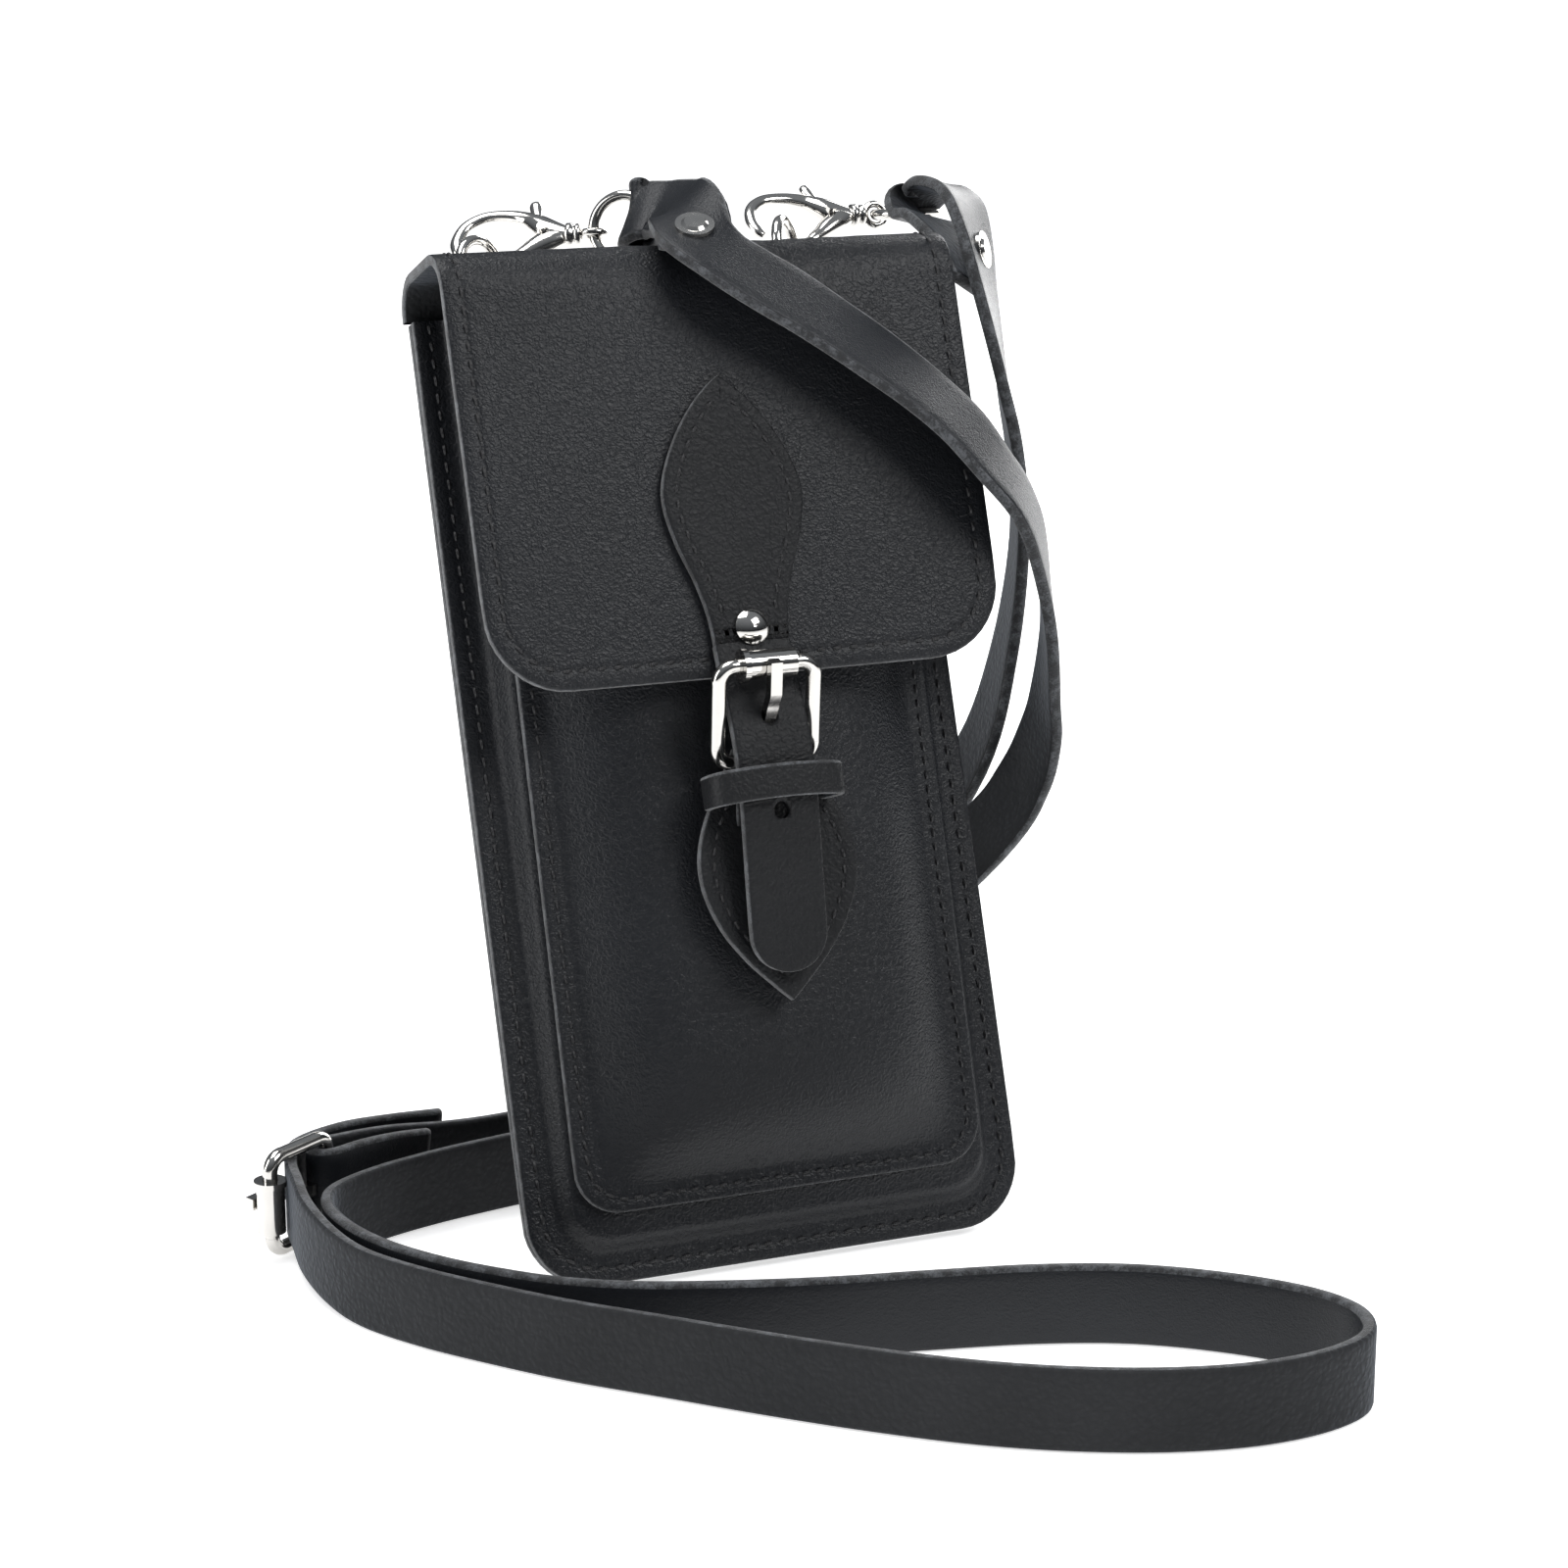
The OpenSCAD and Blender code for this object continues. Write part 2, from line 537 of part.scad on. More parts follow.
// Snap hook: a round jaw, a solid cheek with the pivot, and the swivel collar
module clasp_hook(k) {
    color(nickel) at_clasp(k) difference() {
        union() {
            plate(2.6) difference() {
                circle(hook_r);
                sector(hook_r, 214, 297);
            }
            plate(4.6) polygon([[5, 5.2], [9, 5], [collar_x, 3.2], [collar_x, -1.2], [9, -3.4], [6, -3.6], [5.8, 0]]);
            translate([collar_x - 0.2, 0, swivel_z]) rotate([0, 90, 0]) cylinder(r = 2.6, h = 2.2);
        }
        plate(9) circle(hook_hole_r);
        translate([collar_x - 2.2, 0, swivel_z]) rotate([0, 90, 0]) cylinder(r = 1.1 + fit, h = 6);
        translate([0, 10, 0]) rotate([90, 0, 0]) translate([pin_at[0], pin_at[1], 0]) cylinder(r = 1 + fit, h = 20);
        translate([1, -0.95, -12]) cube([11.2, 1.9, 24]);
    }
}

// Spring lever: gate across the jaw, arm on the pivot and thumb piece on top
module clasp_lever(k) {
    color(nickel) at_clasp(k) difference() {
        plate(1.6) union() {
            polygon([[-3.4, -2.8], [-4.3, -3], [-3.7, -4.5], [-2, -6.1], [0.5, -7.2], [3, -7.1], [6, -6],
                [11.6, -0.6], [11.4, 2.8], [8.6, 2.8], [8.4, -0.4], [4.8, -4.9], [2.6, -5.9], [0.4, -6],
                [-1.4, -5], [-2.6, -3.8]]);
            polygon([[8.6, 0.6], [4.4, 7.6], [3.4, 11.6], [6, 12], [7.2, 8], [11.4, 2]]);
        }
        translate([0, 10, 0]) rotate([90, 0, 0]) translate([pin_at[0], pin_at[1], 0]) cylinder(r = 1 + fit, h = 20);
    }
}

module clasp_pin(k) {
    color(nickel) at_clasp(k) translate([pin_at[0], 2.5, pin_at[1]]) rotate([90, 0, 0]) cylinder(r = 1, h = 5);
}

// Swivel eye: a headed stem through the collar and a small ring round the strap ring's wire
module clasp_eye(k) {
    color(nickel) at_clasp(k) translate([0, 0, swivel_z]) {
        translate([collar_x - 2, 0, 0]) rotate([0, 90, 0]) cylinder(r = 1.1, h = eye_x - eye_r - collar_x + 2);
        translate([eye_x, 0, 0]) rotate([k == 0 ? -clasp_roll : 90 - clasp_roll, 0, 0]) torus(eye_r, 1.4);
    }
}

function turned(v, a) = [v[0] * cos(a) - v[1] * sin(a), v[0] * sin(a) + v[1] * cos(a), v[2]];
function dipped(v, a) = [v[0] * cos(a) + v[2] * sin(a), v[1], v[2] * cos(a) - v[0] * sin(a)];
eye_centre = [for (k = [0, 1]) [clasp_x[k], clasp_y, clasp_z + clasp_lift[k]] + turned(dipped(
    [eye_x, swivel_z * sin(-clasp_roll), swivel_z * cos(clasp_roll)], clasp_dip[k]), -clasp_yaw[k])];
module torus(r, wire) rotate_extrude() translate([r, 0]) circle(wire / 2, $fn = 24);
module strap_ring_left() {
    color(nickel) in_case() translate(eye_centre[0] + ring_r * [cos(40), -sin(40), 0])
        rotate([90, 0, -40]) torus(ring_r, ring_wire);
}
module strap_ring_right() {
    color(nickel) in_case() translate(eye_centre[1]) rotate([15, 0, 0])
        translate(ring_r * [cos(25), -sin(25), 0]) torus(ring_r, ring_wire);
}

// Flat strap swept along a route: wide holds the direction across the strap at each point
module ribbon(route, wide, first, last, steps = 1) {
    count = (last - first) * steps;
    ring = function(j) let (
            i = first + floor(j / steps), u = (j % steps) / steps, c = along(route, i, u),
            t = unit(along(route, i, u + 0.02) - along(route, i, u - 0.02)),
            w = square_to(along(wide, i, u), t), n = cross(t, w))
        [for (k = [[1, 1], [-1, 1], [-1, -1], [1, -1]]) c + w * k[0] * strap_w / 2 + n * k[1] * strap_t / 2];
    polyhedron(
        points = [for (j = [0:count]) each ring(j)],
        faces = concat([[0, 1, 2, 3]], [[4 * count + 3, 4 * count + 2, 4 * count + 1, 4 * count]],
            [for (j = [0:count - 1], q = [0:3])
                let (a = 4 * j + q, b = 4 * j + (q + 1) % 4) each [[a, a + 4, b + 4], [a, b + 4, b]]]));
}

module strap_front_run() color(leather) on_floor() ribbon(long_route, long_wide, 0, flap_edge_at, 2);
module strap_side_run() color(leather) on_floor() ribbon(long_route, long_wide, flap_edge_at, behind_at, 2);
module strap_floor_loop() color(leather) on_floor() ribbon(long_route, long_wide, behind_at, buckle_at);
module strap_tip_run() {
    color(leather) on_floor() difference() {
        ribbon(long_route, long_wide, buckle_at, len(long_route) - 1);
        strap_prong_slot();
    }
}
module strap_short_run() color(leather) on_floor() ribbon(short_route, short_wide, 0, chape_at, 2);
module strap_chape() {
    color(leather) on_floor() difference() {
        ribbon(short_route, short_wide, chape_at, len(short_route) - 1);
        strap_prong_slot();
    }
}
module strap_prong_slot() {
    translate([strap_heel[0], strap_heel[1], strap_mid_z]) rotate([0, 0, strap_turn()])
        translate([-10.5, -9, -1.8]) cube([17.5, 18, 3.6]);
}

module strap_rivet_left() {
    color(nickel) in_case() translate([-1.9, -32, 192.6]) rotate([47, -10, 0]) {
        cylinder(r = 3.7, h = 0.7);
        cylinder(r1 = 3.4, r2 = 2, h = 1.2);
    }
}
module strap_rivet_right() {
    color(nickel) in_case() translate([64.8, -13.7, 190]) rotate([0, 90, -42]) {
        cylinder(r = 3.7, h = 0.7);
        cylinder(r1 = 3.4, r2 = 2, h = 1.2);
    }
}

// The strap buckle: same frame, roller and prong, standing on the floor with its bars upright
function strap_turn() = atan2(strap_heel[1] - strap_bar[1], strap_heel[0] - strap_bar[0]);
module at_strap_buckle() {
    on_floor() translate([strap_heel[0], strap_heel[1], strap_mid_z]) rotate([0, 0, strap_turn() + 180])
        rotate([0, 90, 0]) children();
}
strap_run = norm(strap_heel - strap_bar);
module strap_buckle_frame() color(nickel) at_strap_buckle() frame_shape(strap_run);
module strap_buckle_roller() at_strap_buckle() roller_shape(strap_run);
module strap_buckle_prong() at_strap_buckle() prong_shape(strap_run);

back_panel();
front_panel();
pocket_panel();
body_stitching();
pocket_stitching();
flap();
flap_stitching();
flap_leaf();
flap_leaf_stitching();
flap_rivet();
billet_strap();
lower_leaf();
lower_leaf_stitching();
keeper_loop();
buckle_frame();
buckle_roller();
buckle_prong();
ring_tab(0);  // ring_tab_left
ring_tab(1);  // ring_tab_right
tab_rivet(0);  // tab_rivet_left
tab_rivet(1);  // tab_rivet_right
case_ring(0);  // case_ring_left
case_ring(1);  // case_ring_right
clasp_hook(0);  // clasp_hook_left
clasp_hook(1);  // clasp_hook_right
clasp_lever(0);  // clasp_lever_left
clasp_lever(1);  // clasp_lever_right
clasp_pin(0);  // clasp_pin_left
clasp_pin(1);  // clasp_pin_right
clasp_eye(0);  // clasp_eye_left
clasp_eye(1);  // clasp_eye_right
strap_ring_left();
strap_ring_right();
strap_front_run();
strap_side_run();
strap_floor_loop();
strap_tip_run();
strap_short_run();
strap_chape();
strap_rivet_left();
strap_rivet_right();
strap_buckle_frame();
strap_buckle_roller();
strap_buckle_prong();
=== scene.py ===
# Slim upright leather case with a buckled flap, a moulded pocket and a shoulder strap.
import bpy
import json
import random
from math import sin, cos, pi, radians, sqrt, hypot, exp
from mathutils import Vector, Matrix

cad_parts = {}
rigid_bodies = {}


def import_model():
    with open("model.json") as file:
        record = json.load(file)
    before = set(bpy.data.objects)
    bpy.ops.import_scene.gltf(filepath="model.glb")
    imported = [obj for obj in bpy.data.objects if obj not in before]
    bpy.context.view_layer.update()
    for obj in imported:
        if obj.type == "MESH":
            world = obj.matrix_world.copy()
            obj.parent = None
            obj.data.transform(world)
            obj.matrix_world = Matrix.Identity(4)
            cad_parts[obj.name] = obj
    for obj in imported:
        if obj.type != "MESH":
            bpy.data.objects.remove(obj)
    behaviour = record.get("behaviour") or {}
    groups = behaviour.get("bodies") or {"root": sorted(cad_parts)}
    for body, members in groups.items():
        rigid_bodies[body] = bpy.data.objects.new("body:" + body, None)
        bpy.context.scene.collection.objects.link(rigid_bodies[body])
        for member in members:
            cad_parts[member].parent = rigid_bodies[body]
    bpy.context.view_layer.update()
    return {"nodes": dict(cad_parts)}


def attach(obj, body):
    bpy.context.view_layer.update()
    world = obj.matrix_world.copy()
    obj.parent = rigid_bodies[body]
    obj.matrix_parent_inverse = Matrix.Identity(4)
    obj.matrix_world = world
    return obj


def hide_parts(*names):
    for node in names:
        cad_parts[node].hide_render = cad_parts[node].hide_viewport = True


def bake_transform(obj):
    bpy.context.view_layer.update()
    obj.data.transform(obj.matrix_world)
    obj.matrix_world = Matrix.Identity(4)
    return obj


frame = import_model()
random.seed(7)

# ---------------------------------------------------------------- frames
SETBACK = 36.25
LEAN = radians(20.5)
CL, SL = cos(LEAN), sin(LEAN)


def on_case(x, y, z):
    """Millimetres in the leaning case's own frame to metres in the row frame."""
    return Vector((x, y * CL + z * SL - SETBACK, z * CL - y * SL)) * 0.001


def on_floor(x, y, z):
    return Vector((x, y - SETBACK, z)) * 0.001


def case_dir(x, y, z):
    return Vector((x, y * CL + z * SL, z * CL - y * SL))


# ---------------------------------------------------------------- camera
cam_data = bpy.data.cameras.new("view")
cam_data.lens = 81
cam_data.sensor_width = 36
cam_data.clip_end = 100
camera = bpy.data.objects.new("view", cam_data)
camera.location = (-0.2341, -0.58168 - SETBACK * 0.001, 0.26131)
camera.rotation_euler = (radians(75), 0, radians(-22))
bpy.context.scene.collection.objects.link(camera)
bpy.context.scene.camera = camera
bpy.context.scene.view_settings.view_transform = "Standard"


# ---------------------------------------------------------------- materials
class Nodes:
    """Short hand for building a material's node tree."""

    def __init__(self, name):
        self.mat = bpy.data.materials.new(name)
        self.mat.use_nodes = True
        self.tree = self.mat.node_tree
        self.bsdf = self.tree.nodes["Principled BSDF"]

    def add(self, kind, **values):
        node = self.tree.nodes.new(kind)
        for key, value in values.items():
            if key.startswith("in_"):
                node.inputs[key[3:].replace("_", " ")].default_value = value
            else:
                setattr(node, key, value)
        return node

    def link(self, a, out, b, into):
        self.tree.links.new(a.outputs[out], b.inputs[into])

    def ramp(self, source, out, stops):
        node = self.tree.nodes.new("ShaderNodeValToRGB")
        self.tree.links.new(source.outputs[out], node.inputs["Fac"])
        while len(node.color_ramp.elements) < len(stops):
            node.color_ramp.elements.new(0.5)
        for e, (at, c) in zip(node.color_ramp.elements, stops):
            e.position = at
            e.color = (*c, 1) if isinstance(c, tuple) else (c, c, c, 1)
        return node

    def coords(self):
        return self.add("ShaderNodeTexCoord")


def leather(name, dark, light, rough, grain, depth, sheen=0.0, gloss=0.3):
    """Pebbled, lightly waxed leather: cells of about the grain's size with fine creases."""
    n = Nodes(name)
    tc = n.coords()
    cells = n.add("ShaderNodeTexVoronoi", in_Scale=grain, in_Randomness=0.95)
    cells.feature = "SMOOTH_F1"
    cells.inputs["Smoothness"].default_value = 0.55
    warp = n.add("ShaderNodeTexNoise", in_Scale=grain * 0.45, in_Detail=2.0)
    mixv = n.add("ShaderNodeMixRGB", blend_type="LINEAR_LIGHT")
    mixv.inputs["Fac"].default_value = 0.0009
    n.link(tc, "Object", mixv, "Color1")
    n.link(warp, "Color", mixv, "Color2")
    n.link(tc, "Object", warp, "Vector")
    n.link(mixv, "Color", cells, "Vector")
    fine = n.add("ShaderNodeTexNoise", in_Scale=grain * 2.4, in_Detail=3.0)
    n.link(tc, "Object", fine, "Vector")
    broad = n.add("ShaderNodeTexNoise", in_Scale=28.0, in_Detail=3.0)
    n.link(tc, "Object", broad, "Vector")
    pores = n.ramp(cells, "Distance", [(0.12, 1.0), (0.75, 0.0)])
    height = n.add("ShaderNodeMath", operation="MULTIPLY_ADD")
    n.link(fine, "Fac", height, 0)
    height.inputs[1].default_value = 0.35
    n.link(pores, "Color", height, 2)
    bump = n.add("ShaderNodeBump", in_Strength=depth, in_Distance=0.00012)
    n.link(height, "Value", bump, "Height")
    wave = n.add("ShaderNodeBump", in_Strength=0.25, in_Distance=0.0006)
    n.link(broad, "Fac", wave, "Height")
    n.link(bump, "Normal", wave, "Normal")
    n.link(wave, "Normal", n.bsdf, "Normal")
    tint = n.ramp(broad, "Fac", [(0.32, dark), (0.72, light)])
    n.link(tint, "Color", n.bsdf, "Base Color")
    sat = n.add("ShaderNodeMapRange", in_To_Min=rough - 0.05, in_To_Max=rough + 0.08)
    n.link(cells, "Distance", sat, "Value")
    n.link(sat, "Result", n.bsdf, "Roughness")
    n.bsdf.inputs["Specular IOR Level"].default_value = gloss
    if sheen:
        n.bsdf.inputs["Sheen Weight"].default_value = sheen
        n.bsdf.inputs["Sheen Roughness"].default_value = 0.45
        n.bsdf.inputs["Sheen Tint"].default_value = (0.75, 0.85, 1.0, 1)
    return n.mat


def cut_edge(name, dark, light):
    """Raw cut edge: short pale fibres on dyed leather."""
    n = Nodes(name)
    tc = n.coords()
    fib = n.add("ShaderNodeTexNoise", in_Scale=1900.0, in_Detail=4.0, in_Roughness=0.7)
    n.link(tc, "Object", fib, "Vector")
    blot = n.add("ShaderNodeTexNoise", in_Scale=420.0, in_Detail=2.0)
    n.link(tc, "Object", blot, "Vector")
    mul = n.add("ShaderNodeMath", operation="MULTIPLY")
    n.link(fib, "Fac", mul, 0)
    n.link(blot, "Fac", mul, 1)
    tint = n.ramp(mul, "Value", [(0.2, dark), (0.36, light)])
    n.link(tint, "Color", n.bsdf, "Base Color")
    bump = n.add("ShaderNodeBump", in_Strength=0.9, in_Distance=0.00022)
    n.link(fib, "Fac", bump, "Height")
    n.link(bump, "Normal", n.bsdf, "Normal")
    n.bsdf.inputs["Roughness"].default_value = 0.82
    n.bsdf.inputs["Sheen Weight"].default_value = 0.25
    return n.mat


def thread_mat(name):
    n = Nodes(name)
    tc = n.coords()
    ply = n.add("ShaderNodeTexWave", in_Scale=900.0, in_Distortion=1.5)
    n.link(tc, "Object", ply, "Vector")
    bump = n.add("ShaderNodeBump", in_Strength=0.5, in_Distance=0.00012)
    n.link(ply, "Fac", bump, "Height")
    n.link(bump, "Normal", n.bsdf, "Normal")
    # The ply's grooves are painted darker and its crests lighter: painted shade and highlight along the
    # twist; the bump gives the real relief.
    tint = n.ramp(ply, "Fac", [(0.0, (0.004, 0.004, 0.005)), (1.0, (0.012, 0.012, 0.014))])
    n.link(tint, "Color", n.bsdf, "Base Color")
    n.bsdf.inputs["Roughness"].default_value = 0.5
    return n.mat


def nickel_mat(name, tone=(0.6, 0.585, 0.56), rough=0.1):
    """Polished nickel plate with faint handling marks."""
    n = Nodes(name)
    tc = n.coords()
    smear = n.add("ShaderNodeTexNoise", in_Scale=140.0, in_Detail=5.0, in_Roughness=0.6)
    n.link(tc, "Object", smear, "Vector")
    r = n.add("ShaderNodeMapRange", in_From_Min=0.3, in_From_Max=0.7, in_To_Min=rough * 0.6,
              in_To_Max=rough * 1.7)
    n.link(smear, "Fac", r, "Value")
    n.link(r, "Result", n.bsdf, "Roughness")
    tint = n.ramp(smear, "Fac", [(0.3, tone), (0.75, tuple(c * 0.92 for c in tone))])
    n.link(tint, "Color", n.bsdf, "Base Color")
    n.bsdf.inputs["Metallic"].default_value = 1.0
    bump = n.add("ShaderNodeBump", in_Strength=0.05, in_Distance=0.0003)
    n.link(smear, "Fac", bump, "Height")
    n.link(bump, "Normal", n.bsdf, "Normal")
    return n.mat


CASE = leather("case_leather", (0.0062, 0.0070, 0.0088), (0.0088, 0.0098, 0.0122), 0.4, 1700.0, 0.75)
LEAF = leather("leaf_leather", (0.0052, 0.0056, 0.0066), (0.008, 0.0086, 0.01), 0.5, 1400.0, 0.9, gloss=0.25)
STRAP = leather("strap_leather", (0.008, 0.0092, 0.0118), (0.0112, 0.0128, 0.0158), 0.4, 2300.0, 0.4)
FLESH = leather("flesh_side", (0.008, 0.0085, 0.0095), (0.014, 0.0145, 0.016), 0.75, 900.0, 0.9, 0.15)
EDGE = cut_edge("cut_edge", (0.010, 0.011, 0.013), (0.075, 0.08, 0.088))
THREAD = thread_mat("thread")
NICKEL = nickel_mat("nickel")
# Near-black lining for the holes punched through the closing strap: painted shade inside the holes.
HOLE_SHADE = nickel_mat("hole_painted_shade", (0.01, 0.01, 0.01), 0.6)


# ---------------------------------------------------------------- mesh helpers
def make(name, verts, faces, mats, face_mat=None, smooth=True):
    mesh = bpy.data.meshes.new(name)
    mesh.from_pydata([tuple(v) for v in verts], [], faces)
    for m in mats:
        mesh.materials.append(m)
    if face_mat:
        mesh.polygons.foreach_set("material_index", face_mat)
    mesh.polygons.foreach_set("use_smooth", [smooth] * len(mesh.polygons))
    mesh.update()
    obj = bpy.data.objects.new(name, mesh)
    bpy.context.scene.collection.objects.link(obj)
    return obj


def outward(obj):
    """Makes every closed shell's normals point outwards."""
    import bmesh
    bm = bmesh.new()
    bm.from_mesh(obj.data)
    bmesh.ops.remove_doubles(bm, verts=bm.verts, dist=1e-7)
    bmesh.ops.recalc_face_normals(bm, faces=bm.faces)
    bm.to_mesh(obj.data)
    bm.free()
    return obj


def cut(obj, cutter):
    mod = obj.modifiers.new("cut", "BOOLEAN")
    mod.operation = "DIFFERENCE"
    mod.solver = "EXACT"
    mod.object = cutter
    deps = bpy.context.evaluated_depsgraph_get()
    new = bpy.data.meshes.new_from_object(obj.evaluated_get(deps))
    obj.modifiers.clear()
    obj.data = new
    bpy.data.objects.remove(cutter)


def lofted(loops, closed_loop, close_rows=False):
    """Vertices and quads between successive loops of equal length."""
    verts = [p for loop in loops for p in loop]
    n = len(loops[0])
    faces, rows = [], []
    last = len(loops) if close_rows else len(loops) - 1
    for j in range(last):
        a, b = j * n, ((j + 1) % len(loops)) * n
        for i in range(n if closed_loop else n - 1):
            k = (i + 1) % n
            faces.append((a + i, a + k, b + k, b + i))
            rows.append(j)
    return verts, faces, rows


def catmull(points, i, t):
    at = lambda k: points[min(max(k, 0), len(points) - 1)]
    a, b, c, d = at(i - 1), at(i), at(i + 1), at(i + 2)
    return 0.5 * (2 * b + (c - a) * t + (2 * a - 5 * b + 4 * c - d) * t * t
                  + (3 * b - a - 3 * c + d) * t ** 3)


def smooth_line(points, steps):
    out = []
    for i in range(len(points) - 1):
        for k in range(steps):
            out.append(catmull(points, i, k / steps))
    out.append(points[-1].copy())
    return out


def bib_path(w, length, r, d, side_at, bend=10, base=16, keep=0.0):
    """Points (x, s) at inset d of a sheet w wide whose lower end has round corners.
    side_at holds fractions 0..1 down the straight side."""
    hw, low = w / 2 - d, length - d
    rr = max(min(max(r - d * (1 - keep), 0.3), hw), 0.0)
    left = [(-hw, (low - rr) * f) for f in side_at]
    left += [(-hw + rr - rr * cos(pi / 2 * i / bend), low - rr + rr * sin(pi / 2 * i / bend))
             for i in range(1, bend + 1)]
    flat = [(-hw + rr + (2 * hw - 2 * rr) * i / base, low) for i in range(1, base)]
    return left + flat + [(-x, s) for x, s in reversed(left)]


def edge_rows(t, groove, face, back, deep=0.16):
    """Cross-section rows (inset, height) of a leather sheet from its back over the cut edge to the front."""
    rows = [(d, 0.0) for d in reversed(back)]
    rows += [(0.35, 0.0), (0.1, 0.1), (0.0, 0.35), (0.02, t * 0.5), (0.0, t - 0.42)]
    rows += [(0.12, t - 0.12), (0.42, t)]
    if groove:
        rows += [(groove - 1.1, t + 0.03), (groove - 0.5, t - 0.02), (groove, t - deep)]
        rows += [(groove + 0.5, t - 0.02), (groove + 1.1, t + 0.03)]
    rows += [(d, t) for d in face]
    return rows


def sheet_mesh(name, w, length, r, rows, side_at, place, mats, keep=0.0, base=16, bend=10):
    """A leather sheet: place(x, s, h, d) puts a point of the unrolled sheet in space."""
    loops = [[place(x, s, h, d) for x, s in bib_path(w, length, r, d, side_at, bend, base, keep)]
             for d, h in rows]
    verts, faces, which = lofted(loops, False)
    first_edge = next(i for i, (d, h) in enumerate(rows) if h > 0) - 1
    last_edge = next(i for i, (d, h) in enumerate(rows) if d == 0.12) - 1
    tags = [0 if j > last_edge else (1 if j >= first_edge else 2) for j in which]
    return outward(make(name, verts, faces, mats, tags))


def ribbon_mesh(name, line, wide, width, thick, mats, closed=False, joins=(False, False)):
    """Flat strap swept along a line; wide gives the direction across it at each point."""
    hw, ht = width / 2, thick / 2
    c = min(ht * 0.55, 0.0006)
    section = [(-hw, -ht + c), (-hw - 0.00004, 0), (-hw, ht - c), (-hw + c * 0.4, ht - c * 0.25),
               (-hw + c * 1.3, ht)]
    section += [(-hw + width * k / 6, ht) for k in range(1, 6)]
    section += [(hw - c * 1.3, ht), (hw - c * 0.4, ht - c * 0.25), (hw, ht - c), (hw + 0.00004, 0)]
    section += [(hw, -ht + c), (hw - c * 0.4, -ht + c * 0.25), (hw - c * 1.3, -ht)]
    section += [(hw - width * k / 6, -ht) for k in range(1, 6)]
    section += [(-hw + c * 1.3, -ht), (-hw + c * 0.4, -ht + c * 0.25)]
    n = len(line)
    loops = []
    for i in range(n):
        t = (line[(i + 1) % n] - line[i - 1]) if closed else (line[min(i + 1, n - 1)] - line[max(i - 1, 0)])
        t.normalize()
        w = (wide[i] - wide[i].dot(t) * t).normalized()
        up = t.cross(w)
        loops.append([line[i] + w * a + up * b for a, b in section])
    loops = loops[1 if joins[0] else 0:n - 1 if joins[1] else n]
    n = len(loops)
    verts, faces, rows = lofted(loops, True, closed)
    m = len(section)
    tags = []
    for k in range(len(faces)):
        q = k % m
        tags.append(1 if q in (0, 1, 2, m - 1) or 10 <= q <= 13 else (0 if q < 11 else 2))
    if not closed and not joins[0]:
        faces.append(tuple(range(m)))
        tags.append(1)
    if not closed and not joins[1]:
        faces.append(tuple(range((n - 1) * m, n * m))[::-1])
        tags.append(1)
    return outward(make(name, verts, faces, mats, tags))


def tube_mesh(name, line, radii, mats, sides=16, closed=False, flat=None):
    """Round bar along a line; radii are per point; flat=(direction, factor) squeezes it."""
    n = len(line)
    loops = []
    ref = None
    for i in range(n):
        t = (line[(i + 1) % n] - line[i - 1]) if closed else (line[min(i + 1, n - 1)] - line[max(i - 1, 0)])
        t.normalize()
        if ref is None:
            ref = Vector((0, 0, 1)) if abs(t.z) < 0.8 else Vector((1, 0, 0))
        a = (ref - ref.dot(t) * t).normalized()
        ref = a
        b = t.cross(a)
        r = radii[i] if isinstance(radii, (list, tuple)) else radii
        ring = [line[i] + (a * cos(2 * pi * k / sides) + b * sin(2 * pi * k / sides)) * r
                for k in range(sides)]
        if flat:
            ring = [p - flat[0] * ((p - line[i]).dot(flat[0]) * (1 - flat[1])) for p in ring]
        loops.append(ring)
    verts, faces, _ = lofted(loops, True, closed)
    if not closed:
        faces.append(tuple(range(sides)))
        faces.append(tuple(range((n - 1) * sides, n * sides))[::-1])
    return outward(make(name, verts, faces, mats))


def stitches(name, line, normals, pitch, body, long=0.0024, r=0.00036, slant=7):
    """Sewn thread along a line on a surface, one short bowed bar for each stitch."""
    total, marks = 0.0, [0.0]
    for a, b in zip(line, line[1:]):
        total += (b - a).length
        marks.append(total)
    count = int(total / pitch)
    verts, faces = [], []
    seg, ring = 7, 8
    k = 0
    for c in range(count):
        at = (c + 0.5) * total / count
        while marks[k + 1] < at:
            k += 1
        f = (at - marks[k]) / (marks[k + 1] - marks[k])
        p = line[k].lerp(line[k + 1], f)
        nrm = normals[k].lerp(normals[k + 1], f).normalized()
        t = (line[k + 1] - line[k]).normalized()
        side = nrm.cross(t).normalized()
        turn = radians(slant + random.uniform(-3, 3))
        t = t * cos(turn) + side * sin(turn)
        side = nrm.cross(t)
        size = random.uniform(0.94, 1.05)
        base = len(verts)
        for i in range(seg):
            u = -1 + 2 * i / (seg - 1)
            rr = r * sqrt(max(0.0, 1 - (u * 0.985) ** 4)) * size
            lift = r * (0.55 - 1.5 * u * u)
            for j in range(ring):
                a = 2 * pi * j / ring
                verts.append(p + t * (u * long * 0.5 * size) + nrm * (lift + rr * sin(a))
                             + side * (rr * cos(a)))
        for i in range(seg - 1):
            for j in range(ring):
                a = base + i * ring + j
                b = base + i * ring + (j + 1) % ring
                faces.append((a, b, b + ring, a + ring))
        faces.append(tuple(base + j for j in range(ring))[::-1])
        faces.append(tuple(base + (seg - 1) * ring + j for j in range(ring)))
    obj = make(name, verts, faces, [THREAD])
    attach(obj, body)
    return obj


def finish_piece(obj, body, slot, *nodes):
    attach(obj, body)
    if nodes:
        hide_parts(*nodes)
    return obj


# ---------------------------------------------------------------- shoulder strap
def route(points, place):
    return [place(*p) for p in points]


